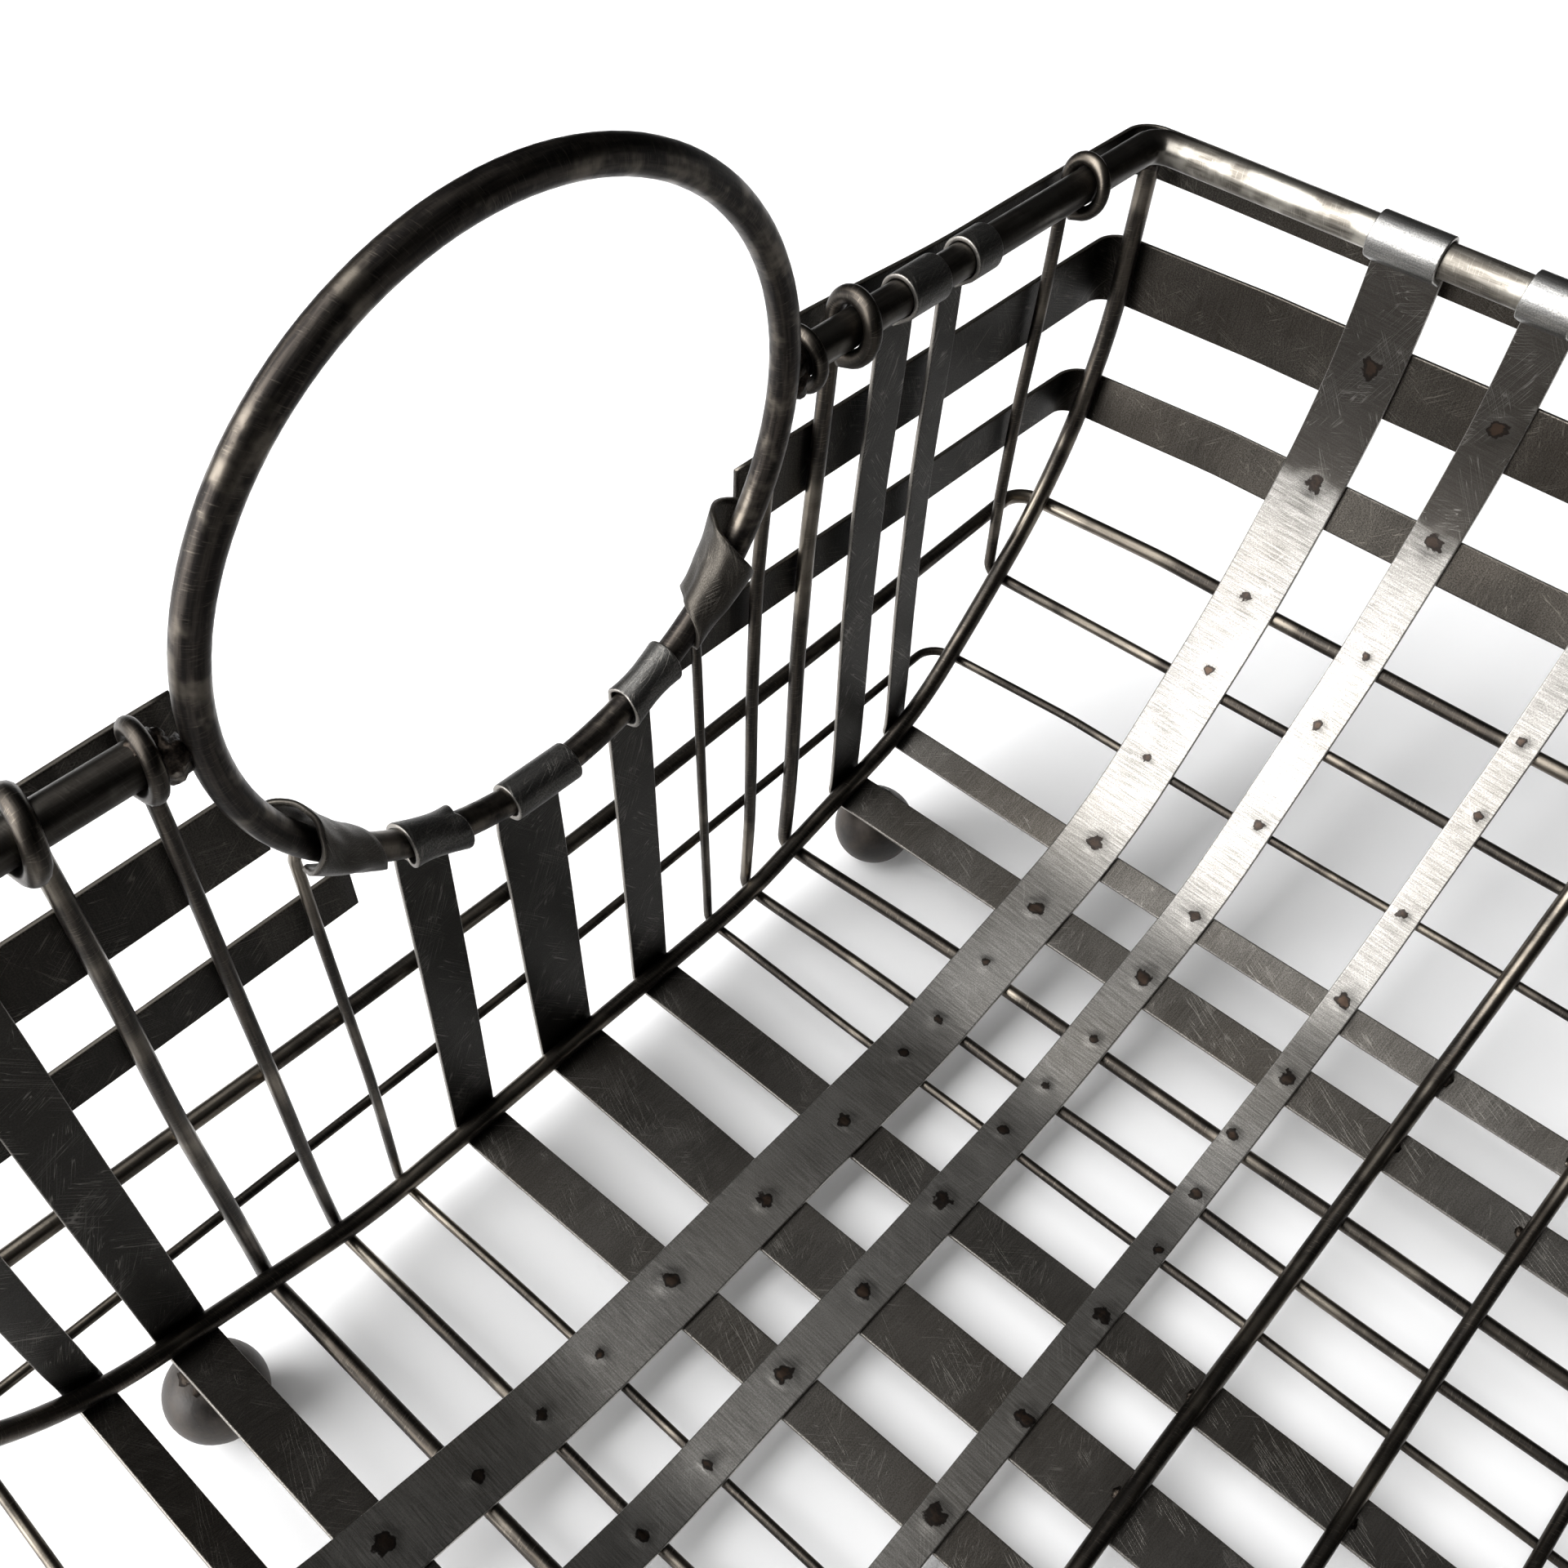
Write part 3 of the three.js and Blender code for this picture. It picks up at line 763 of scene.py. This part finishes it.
def rod_steel(name, dark, worn, shine, worn_share, rough, patch_scale=30, painted_end_shade=0.0):
    """Rod and wire: a dark drawn surface, worn in streaks along it, with fine hair lines across."""
    steel = Steel(name)
    streak = steel.noise(steel.map(0.7, 0.05), 1.0, 3, 0.6)
    patch = steel.noise(steel.space(), patch_scale, 3, 0.6)
    hairs = steel.noise(steel.map(0.3, 3.2, 12), 1.0, 2, 0.6)
    speckle = steel.noise(steel.space(), 1400, 2, 0.6)
    ground = steel.mix(steel.ramp(streak, 0.38, 0.7), dark, worn)
    rubbed = steel.math("MULTIPLY", steel.ramp(patch, 0.48, 0.68), worn_share)
    ground = steel.mix(rubbed, ground, shine)
    ground = steel.mix(steel.ramp(hairs, 0.55, 0.75, 0, 0.35), ground, shine)
    ground = steel.mix(steel.ramp(speckle, 0.6, 0.8, 0, 0.5), ground, tuple(value * 0.3 for value in dark))
    # Painted shade: the rod darkens over the basket's ends.
    if painted_end_shade:
        end = steel.ramp(steel.endward(), *ROD_PAINTED_SHADE_ENDS, 0, painted_end_shade)
        ground = steel.mix(end, ground, (0.022, 0.019, 0.017))
    roughness = steel.ramp(patch, 0.3, 0.7, rough + 0.12, rough - 0.06)
    height = steel.math("ADD", steel.math("MULTIPLY", hairs, 0.6), steel.math("MULTIPLY", speckle, 0.5))
    return steel.finish(ground, roughness, height, 0.03)


def weld_steel():
    """Weld metal: black-brown and lumpy, with a few bare bright beads."""
    steel = Steel("weld_metal")
    lumps = steel.noise(steel.space(), 700, 4, 0.65)
    bare = steel.noise(steel.space(), 260, 2, 0.5)
    ground = steel.mix(steel.ramp(lumps, 0.35, 0.7), (0.012, 0.01, 0.009), (0.06, 0.048, 0.038))
    ground = steel.mix(steel.ramp(bare, 0.6, 0.7, 0, 0.6), ground, (0.3, 0.27, 0.23))
    return steel.finish(ground, steel.ramp(lumps, 0.3, 0.7, 0.3, 0.6), lumps, 0.35)


def ball_iron():
    """Ball feet: satin black-brown with small pits."""
    steel = Steel("ball_black")
    cloud = steel.noise(steel.space(), 90, 4, 0.6)
    pits = steel.noise(steel.space(), 900, 3, 0.6)
    ground = steel.mix(steel.ramp(cloud, 0.35, 0.7), (0.018, 0.015, 0.013), (0.065, 0.052, 0.042))
    ground = steel.mix(steel.ramp(pits, 0.68, 0.76, 0, 0.7), ground, (0.12, 0.09, 0.07))
    roughness = steel.ramp(cloud, 0.3, 0.7, 0.42, 0.6)
    return steel.finish(ground, roughness, pits, 0.08, metallic=0.35)


CROSS_STEEL = strip_steel(
    "cross_strip_steel", (0.145, 0.139, 0.129), (0.275, 0.265, 0.249), (0.2, 0.183, 0.157),
    brushed=0.6, speckled=0.5, rough=0.35, scored=0.2, sleeve=(0.25, 0.254, 0.254), high_tint_and_painted_shade=0.88,
)
LONG_STEEL = strip_steel(
    "long_strip_steel", (0.07, 0.065, 0.058), (0.145, 0.136, 0.124), (0.095, 0.08, 0.063),
    brushed=0.3, speckled=0.65, rough=0.42, scored=0.45, sleeve=(0.085, 0.086, 0.085), painted_end_shade=0.8,
)
BAND_STEEL = strip_steel(
    "band_steel", (0.036, 0.033, 0.029), (0.076, 0.069, 0.06), (0.052, 0.042, 0.033),
    brushed=0.26, speckled=0.75, rough=0.42, scored=0.5, sleeve=(0.05, 0.045, 0.039), painted_end_shade=0.6,
)
RIM_STEEL = rod_steel(
    "rim_steel", (0.12, 0.108, 0.092), (0.3, 0.28, 0.245), (0.58, 0.55, 0.485), 0.9, 0.38, 60, painted_end_shade=0.85,
)
RING_STEEL = rod_steel(
    "ring_steel", (0.018, 0.016, 0.015), (0.05, 0.043, 0.037), (0.16, 0.14, 0.115), 0.6, 0.4, 110,
)
WIRE_STEEL = rod_steel(
    "wire_steel", (0.03, 0.027, 0.024), (0.075, 0.064, 0.053), (0.25, 0.22, 0.18), 0.7, 0.34,
)
WELD_METAL = weld_steel()
BALL_IRON = ball_iron()


# ---- members ----

def belly(height):
    """A slight sideways belly of the upright part of a member, largest half way up."""
    return -2.8 * smoothstep(20, 95, height) * smoothstep(175, 110, height)


LONG_STRIP_LOOKS = {
    1: {"lean": (1, -2), "top": rim_hook, "crook": belly},
    2: {"lean": (0, 0), "top": rim_hook, "crook": belly},
    3: {"lean": (0.5, -3), "top": ring_hook},
    4: {"lean": (1.5, -1.7), "top": ring_hook},
    5: {"lean": (-1, 0.5), "top": ring_hook},
    6: {"lean": (0, 0), "top": rim_hook},
    7: {"lean": (0, 0), "top": rim_hook},
}
LONG_WIRE_LOOKS = {
    1: {"lean": (0, 0), "top": rim_hook, "drift": -4, "crook": belly},
    2: {"lean": (-2.5, 2.5), "top": rim_hook, "drift": -4, "crook": belly},
    3: {"lean": (-1, 3), "top": rim_hook, "drift": 0, "crook": belly},
    4: {"lean": (1, -5), "top": butt_top},
    5: {"lean": (0, 0), "top": butt_top},
    6: {"lean": (0, 0), "top": rim_hook, "drift": -3},
    7: {"lean": (0, 0), "top": rim_hook, "drift": -4},
    8: {"lean": (0, 0), "top": rim_hook, "drift": -4},
}


def along_of(node, thickness):
    return along_at_y(middle(node).y, -GAP - thickness / 2)


def mark_rise(along):
    """How much further up the side a weld mark lies than the crossing that it holds."""
    return MARK_RISE * smoothstep(120, 220, abs(along))


def crossing_points():
    """Where the members along meet a member across: the side curve's y and z, and a mark radius."""
    points = []
    for i in range(1, 8):
        along = along_of(f"long_strip_{i}", THICKNESS)
        y, z, _ = side_point(along + math.copysign(mark_rise(along), along))
        points.append((y, z + FLOOR_Z, STRIP_MARK))
    for i, size in enumerate(LONG_WIRE_SIZES, 1):
        along = along_of(f"long_wire_{i}", size)
        y, z, _ = side_point(along + math.copysign(mark_rise(along), along))
        points.append((y, z + FLOOR_Z, WIRE_MARK))
    heights = [(band["heights"][0], STRIP_MARK) for band in BANDS.values()]
    heights += [(THICK_HOOP[0], WIRE_MARK), (THIN_HOOP[0], WIRE_MARK)]
    for height, radius in heights:
        along = along_at_height(height)
        y, z, _ = side_point(along + mark_rise(along))
        points.append((y, z + FLOOR_Z, radius))
        points.append((-y, z + FLOOR_Z, radius))
    return points


def marks_on(stops, points, axes, seed):
    """Weld marks where a strip passes the crossing points: distance along, across, radius."""
    draw = random.Random(seed)
    have = distances(stops)
    marks = []
    for first, second, radius in points:
        gaps = [math.hypot(p[axes[0]] - first, p[axes[1]] - second) for p, _ in stops]
        best = min(range(len(gaps)), key=gaps.__getitem__)
        along = have[best] + draw.uniform(-1.5, 1.5)
        sideways = draw.uniform(-1.8, 1.8)
        marks.append((along, sideways, radius * draw.uniform(0.85, 1.1)))
    return marks


# How far the head of each strip across leans along the basket, at its back end.
STRIP_LEANS = {1: 2.6, 2: 2.2, 8: -2.2, 9: -2.6}


def add_cross_members():
    points = crossing_points()
    radius = RIM_ROD / 2 + GAP + THICKNESS / 2
    for i in range(1, 10):
        node = f"cross_strip_{i}"
        stops = cross_stops(middle(node).x, THICKNESS / 2, radius, SLEEVE_START, SIDE_SLEEVE_TAIL)
        stops = wander(leaned(stops, STRIP_LEANS.get(i, 0)), STRIP_WANDER, i)
        marks = marks_on(stops, points, (1, 2), i)
        stops = with_spots(stops, marks)
        piece = sweep(f"strip_across_{i}", strip_section(width_of(node, 0)), stops, marks)
        fit(piece, CROSS_STEEL, "brushed_strip", node)
    for i, size in enumerate(CROSS_ROD_SIZES, 1):
        node = f"cross_rod_{i}"
        stops = cross_stops(middle(node).x, size / 2, RIM_ROD / 2 + GAP + size / 2, ROD_START)
        piece = sweep(f"rod_across_{i}", rod_section(size, ROD_SIDES), wander(stops, ROD_WANDER, i + 20))
        fit(piece, WIRE_STEEL, "dark_wire", node)


def add_long_strips():
    crossings = [middle(f"cross_strip_{i}").x for i in range(1, 10)]
    for i, look in LONG_STRIP_LOOKS.items():
        node = f"long_strip_{i}"
        along = along_of(node, THICKNESS)
        on_ring = look["top"] is ring_hook
        start, tail = (RING_SLEEVE_START, RING_SLEEVE_TAIL) if on_ring else (SLEEVE_START, END_SLEEVE_TAIL)
        stops = long_stops(middle(node).y, along, THICKNESS, look, start, tail)
        stops = wander(stops, LONG_STRIP_WANDER, i + 40)
        floor = FLOOR_Z + side_point(along, -GAP)[1]
        marks = marks_on(stops, [(x, floor, STRIP_MARK) for x in crossings], (0, 2), i + 40)
        stops = with_spots(stops, marks)
        piece = sweep(f"strip_along_{i}", strip_section(width_of(node, 1)), stops, marks)
        fit(piece, LONG_STEEL, "dark_strip", node)


def add_long_wires():
    for i, size in enumerate(LONG_WIRE_SIZES, 1):
        node = f"long_wire_{i}"
        look = LONG_WIRE_LOOKS[i]
        stops = long_stops(middle(node).y, along_of(node, size), size, look, WIRE_START, WIRE_TAIL)
        stops = wander(stops, LONG_WIRE_WANDER, i + 60)
        piece = sweep(f"wire_along_{i}", rod_section(size, LONG_WIRE_SIDES), stops)
        fit(piece, WIRE_STEEL, "dark_wire", node)


def flare(amount, ends_at):
    """How far the top band's free end stands off the hooks."""
    return lambda y: amount * smoothstep(ends_at + 65, ends_at, y)


def add_bands():
    end_x = HALF_LENGTH + WALL_OUTER + THICKNESS / 2
    for name, band in BANDS.items():
        is_top = name == "band_top"
        offset = TOP_BAND_OFFSET if is_top else BAND_OFFSET
        for side, ends_at in (("back", band["ends_at"]), ("front", band["front_ends_at"])):
            bow = flare(TOP_BAND_FLARES[side], ends_at) if is_top else None
            path = side_loop(band["heights"], end_x, ends_at, offset, BAND_CORNER, True, bow)
            path = mirror_y(path) if side == "front" else path
            path = wander(path, STRIP_WANDER, len(name) + len(side))
            piece = sweep(f"{name}_strip_{side}", strip_section(band["width"]), path)
            fit(piece, BAND_STEEL, "dark_strip", f"{name}_{side}")


def add_hoops():
    hoops = (("hoop_thick", THICK_HOOP, THICK_WIRE), ("hoop_thin", THIN_HOOP, THIN_WIRE))
    for name, heights, size in hoops:
        end_x = HALF_LENGTH + WALL_OUTER + size / 2
        back = side_loop(heights, end_x, 0, -GAP - size / 2, HOOP_CORNER, False)[:-1]
        stops = wander(back + mirror_y(back)[:-1], HOOP_WANDER, heights[0], loop=True)
        piece = sweep(f"{name}_wire", rod_section(size, ROD_SIDES), stops, loop=True)
        fit(piece, WIRE_STEEL, "dark_wire", name)


def add_rim():
    stops = side_loop([RIM_HEIGHT] * 3, RIM_X, RING_HALF_WIDTH + 5.5, RIM_OFFSET, RIM_CORNER, False)
    for side, path in (("back", stops), ("front", mirror_y(stops))):
        piece = sweep(f"rim_{side}_rod", rod_section(RIM_ROD, RIM_SIDES), path)
        fit(piece, RIM_STEEL, "worn_rim", f"rim_{side}")


def ring_stop(angle, side):
    """A point of a ring's centre line at an angle from its lowest point, towards +Y."""
    y = RING_HALF_WIDTH * math.sin(angle)
    rise = -RING_HALF_HEIGHT * math.cos(angle)
    height = RING_HEIGHT + rise * math.cos(RING_LEAN)
    return Vector((side * (RING_X - rise * math.sin(RING_LEAN)), y, height + FLOOR_Z))


def add_rings():
    for name, side in (("left", -1), ("right", 1)):
        stops = []
        for i in range(RING_STEPS):
            angle = 2 * math.pi * i / RING_STEPS
            outward = Vector((0, math.sin(angle), -math.cos(angle)))
            stops.append((ring_stop(angle, side), outward))
        piece = sweep(f"ring_{name}", rod_section(RING_ROD, RING_SIDES), stops, loop=True)
        fit(piece, RING_STEEL, "dark_rod", f"ring_handle_{name}")


def sheet(name, rows, width):
    """A bent sheet from rows of (point, outward normal), with its thickness and its own map."""
    across = len(rows[0])
    top = [point + normal * THICKNESS / 2 for row in rows for point, normal in row]
    under = [point - normal * THICKNESS / 2 for row in rows for point, normal in row]
    size = len(top)
    faces = []
    for i in range(len(rows) - 1):
        for k in range(across - 1):
            corners = (i * across + k, i * across + k + 1, (i + 1) * across + k + 1, (i + 1) * across + k)
            faces.append(corners)
            faces.append(tuple(size + corner for corner in reversed(corners)))
    last = (len(rows) - 1) * across
    outline = list(range(across))
    outline += [i * across + across - 1 for i in range(1, len(rows))]
    outline += [last + k for k in range(across - 2, -1, -1)]
    outline += [i * across for i in range(len(rows) - 2, 0, -1)]
    for here, there in zip(outline, outline[1:] + outline[:1]):
        faces.append((there, here, size + here, size + there))
    places = [divmod(index, across) for index in range(size)] * 2
    spots = [(width * column / across, WRAP_ROW * row) for row, column in places]
    inset = [min(column, across - 1 - column) * width / across for _, column in places]
    maps = [[spots[corner] for corner in face] for face in faces]
    marks = {"weld": [UNMARKED] * 2 * size, "edge": inset, "end": [END_NEAR] * 2 * size}
    return make_mesh(name, [place * MM for place in top + under], faces, maps, marks)


def wrap_rows(first, spring, flare_out):
    """The end of the wide band at +Y, wound round the ring from outside over its hole side.

    It makes a loose cone. first is the angle that it starts at, spring how far it stands off there, and
    flare_out how wide its mouth is.
    """
    rows = []
    for i in range(WRAP_STEPS_ROUND + 1):
        turned = i / WRAP_STEPS_ROUND
        around = math.radians(first + (WRAP_TO - first) * turned)
        mouth = WRAP_DROP * turned ** 1.25
        length = WRAP_LENGTH * (1 - 0.3 * smoothstep(0.75, 1, turned))
        row = []
        for k in range(WRAP_STEPS_ACROSS + 1):
            share = k / WRAP_STEPS_ACROSS
            angle = WRAP_TOP - (mouth + length * share) / RING_HALF_HEIGHT
            centre = ring_stop(angle, -1)
            outward = Vector((0, math.sin(angle), -math.cos(angle)))
            normal = outward * math.cos(around) + X_AXIS * math.sin(around)
            loose = flare_out * (1 - share) ** 1.4 + spring * smoothstep(0.3, 0, turned)
            ragged = 0.35 * noise.noise(Vector((turned * 9, share * 4, 2.5)))
            radius = RING_ROD / 2 + WRAP_GAP + loose + ragged + 0.9 * smoothstep(0.9, 1, turned)
            row.append((centre + normal * radius, normal))
        rows.append(row)
    return rows


def add_wraps():
    back = wrap_rows(first=318, spring=6, flare_out=2.3)
    front = [flipped(row, Y_AXIS) for row in wrap_rows(first=262, spring=1, flare_out=1.7)]
    for side, rows in (("back", back), ("front", front)):
        for end, placed in (("left", rows), ("right", [flipped(row, X_AXIS) for row in rows])):
            piece = sheet(f"wrap_{end}_{side}", placed, WRAP_LENGTH)
            fit(piece, BAND_STEEL, "dark_strip")


def add_weld_lumps(name, places):
    """Beads of weld metal as one piece: centre and half sizes of each, in millimetres."""
    bm = bmesh.new()
    for number, (centre, size) in enumerate(places):
        made = bmesh.ops.create_icosphere(bm, subdivisions=3, radius=1)
        for vertex in made["verts"]:
            direction = vertex.co.normalized()
            swell = 1 + 0.42 * noise.noise(direction * 1.9 + Vector((number * 3.1, 0, 0)))
            swell += 0.16 * noise.noise(direction * 5.5 + Vector((0, number * 2.3, 0)))
            local = Vector((direction.x * size[0], direction.y * size[1], direction.z * size[2]))
            vertex.co = boxed((centre + local * swell) * MM)
    fit(smooth_object(name, bm), WELD_METAL, "dark_rod")


def add_rim_welds():
    """Where the rim butts against the rings, and where the end rods meet the rim."""
    rim_z = RIM_HEIGHT + FLOOR_Z
    joints = []
    tops = []
    for x_side in (-1, 1):
        for y_side in (-1, 1):
            ring_y = y_side * (RING_HALF_WIDTH + 5.2)
            large = Vector((x_side * (RIM_X - 2.8), ring_y, rim_z - 0.5))
            small = Vector((x_side * (RIM_X - 0.5), ring_y + y_side * 2.5, rim_z + 2))
            joints += [(large, (3.6, 3.6, 4.6)), (small, (3, 3.6, 3))]
            top = Vector((x_side * (HALF_LENGTH - 0.5), y_side * (RIM_Y + 1), rim_z - 4.6))
            tops.append((top, (3.4, 3.8, 2.6)))
    add_weld_lumps("weld_ring_joints", joints)
    add_weld_lumps("weld_rod_tops", tops)


def add_floor_welds():
    """Beads beside the rods across where they cross the strips along, and round the seats of the feet."""
    splatter = []
    draw = random.Random(5)
    for i, size in enumerate(CROSS_ROD_SIZES, 1):
        x = middle(f"cross_rod_{i}").x
        for k in range(1, 8):
            along = along_of(f"long_strip_{k}", THICKNESS)
            y, z, _ = side_point(along, draw.uniform(0.2, 0.8))
            sideways = draw.choice((-1, 1)) * size * 0.45
            place = Vector((x + sideways, y + draw.uniform(-2, 2), z + FLOOR_Z))
            bead = (draw.uniform(1.1, 1.9), draw.uniform(1.5, 2.6), draw.uniform(0.8, 1.3))
            splatter.append((place, bead))
    add_weld_lumps("weld_rod_crossings", splatter)
    seats = []
    for i in range(1, 5):
        low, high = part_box(f"ball_foot_{i}")
        seat = (low + high) / 2 / MM
        seat.z = high.z / MM - 1.2
        seats.append((seat, (5.2, 5.2, 1.9)))
    add_weld_lumps("weld_ball_seats", seats)


def add_profile_rods():
    top = along_at_height(RIM_HEIGHT - RIM_ROD / 2, PROFILE_ROD / 2)
    half = []
    for along in spread(top, 0, CURVE_STEP):
        y, z, _ = side_point(along, PROFILE_ROD / 2)
        half.append((Vector((-HALF_LENGTH, y, z)), X_AXIS))
    stops = lifted(half + mirror_y(half)[1:])
    for name, path in (("left", stops), ("right", mirror_x(stops))):
        path = wander(path, END_ROD_WANDER, len(name))
        piece = sweep(f"profile_rod_{name}", rod_section(PROFILE_ROD, END_ROD_SIDES), path)
        fit(piece, WIRE_STEEL, "dark_wire", f"end_rod_{name}")


def add_feet():
    for i in range(1, 5):
        node = f"ball_foot_{i}"
        low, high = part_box(node)
        radius = (high.x - low.x) / 2
        bm = bmesh.new()
        bmesh.ops.create_uvsphere(bm, u_segments=48, v_segments=32, radius=radius)
        centre = (low + high) / 2
        centre.z = high.z - radius
        for vertex in bm.verts:
            swell = 1 + 0.006 * (noise.noise(vertex.co * 160) - 0.6)
            place = centre + vertex.co * swell
            place.z = max(place.z, low.z)
            vertex.co = place
        fit(smooth_object(f"ball_{i}", bm), BALL_IRON, "black_ball", node)


add_rim()
add_rings()
add_wraps()
add_profile_rods()
add_cross_members()
add_long_strips()
add_long_wires()
add_bands()
add_hoops()
add_feet()
add_rim_welds()
add_floor_welds()


# ---- floor, light and camera ----

CAMERA_PLACE = (-0.147, -0.1463, 0.3823)
CAMERA_DEGREES = (37.23, -1.9, 41.93)
CAMERA_LENS = 34.15
CAMERA_SHIFT = (0.0148, 0.0932)
SOFTBOX_FACING = Vector((0, 0.73, -0.68))
FLOOR_REACH = 4.0
FLOOR_BELOW = 0.0002
# How strongly the floor glows: painted light that lifts the shadows under the basket.
FLOOR_PAINTED_LIGHT = 0.11
ROOM_LIGHT = 0.2
CEILING_LIGHT = 1.6
SEEN_BACKDROP = 0.95


def add_floor():
    mesh = bpy.data.meshes.new("floor")
    sides = ((-1, -1), (1, -1), (1, 1), (-1, 1))
    corners = [(x * FLOOR_REACH, y * FLOOR_REACH, -FLOOR_BELOW) for x, y in sides]
    mesh.from_pydata(corners, [], [(0, 1, 2, 3)])
    floor = linked("floor", mesh)
    material = bpy.data.materials.new("floor_white")
    material.use_nodes = True
    shader = material.node_tree.nodes["Principled BSDF"]
    shader.inputs["Base Color"].default_value = (0.9, 0.9, 0.905, 1)
    # Painted light: the floor glows, though it is no lamp, lifting the shadows under the basket.
    shader.inputs["Emission Color"].default_value = (1, 1, 1, 1)
    shader.inputs["Emission Strength"].default_value = FLOOR_PAINTED_LIGHT
    shader.inputs["Roughness"].default_value = 0.9
    shader.inputs["Specular IOR Level"].default_value = 0.1
    mesh.materials.append(material)


def add_softbox(name, place, size, power):
    light = bpy.data.lights.new(name, "AREA")
    light.shape = "RECTANGLE"
    light.size, light.size_y = size
    light.energy = power
    lamp = linked(name, light)
    lamp.location = place
    lamp.rotation_euler = SOFTBOX_FACING.to_track_quat("-Z", "Y").to_euler()
    lamp.visible_camera = False


def add_world():
    """A dim room with a pale ceiling. Seen directly, past the floor's edge, it is plain pale grey."""
    world = bpy.data.worlds.new("studio")
    world.use_nodes = True
    tree = world.node_tree
    background = tree.nodes["Background"]
    where = tree.nodes.new("ShaderNodeTexCoord")
    split = tree.nodes.new("ShaderNodeSeparateXYZ")
    tree.links.new(where.outputs["Generated"], split.inputs[0])
    ceiling = tree.nodes.new("ShaderNodeMapRange")
    ceiling.interpolation_type = "SMOOTHSTEP"
    ceiling.inputs["From Min"].default_value = 0.5
    ceiling.inputs["From Max"].default_value = 0.95
    ceiling.inputs["To Min"].default_value = ROOM_LIGHT
    ceiling.inputs["To Max"].default_value = CEILING_LIGHT
    tree.links.new(split.outputs[2], ceiling.inputs["Value"])
    rays = tree.nodes.new("ShaderNodeLightPath")
    seen = tree.nodes.new("ShaderNodeMix")
    seen.data_type = "FLOAT"
    tree.links.new(rays.outputs["Is Camera Ray"], seen.inputs[0])
    tree.links.new(ceiling.outputs[0], seen.inputs[2])
    seen.inputs[3].default_value = SEEN_BACKDROP
    tree.links.new(seen.outputs[0], background.inputs["Strength"])
    bpy.context.scene.world = world


def add_camera():
    """Close over one end of the basket, looking down across its corner."""
    camera = bpy.data.cameras.new("camera")
    camera.sensor_width = 36
    camera.lens = CAMERA_LENS
    camera.shift_x, camera.shift_y = CAMERA_SHIFT
    camera.clip_start = 0.01
    seat = linked("camera", camera)
    seat.location = CAMERA_PLACE
    seat.rotation_euler = [math.radians(value) for value in CAMERA_DEGREES]
    bpy.context.scene.camera = seat


add_floor()
add_softbox("key", (-2.25, -2.91, 1.76), (3.6, 4.8), 512)
add_softbox("key_fade", (-2.25, -0.75, 4.09), (3.6, 1.55), 62)
add_softbox("overhead", (-1.9, 0.2, 5.1), (4.2, 1.3), 28)
add_world()
add_camera()
bpy.context.scene.view_settings.view_transform = "Standard"
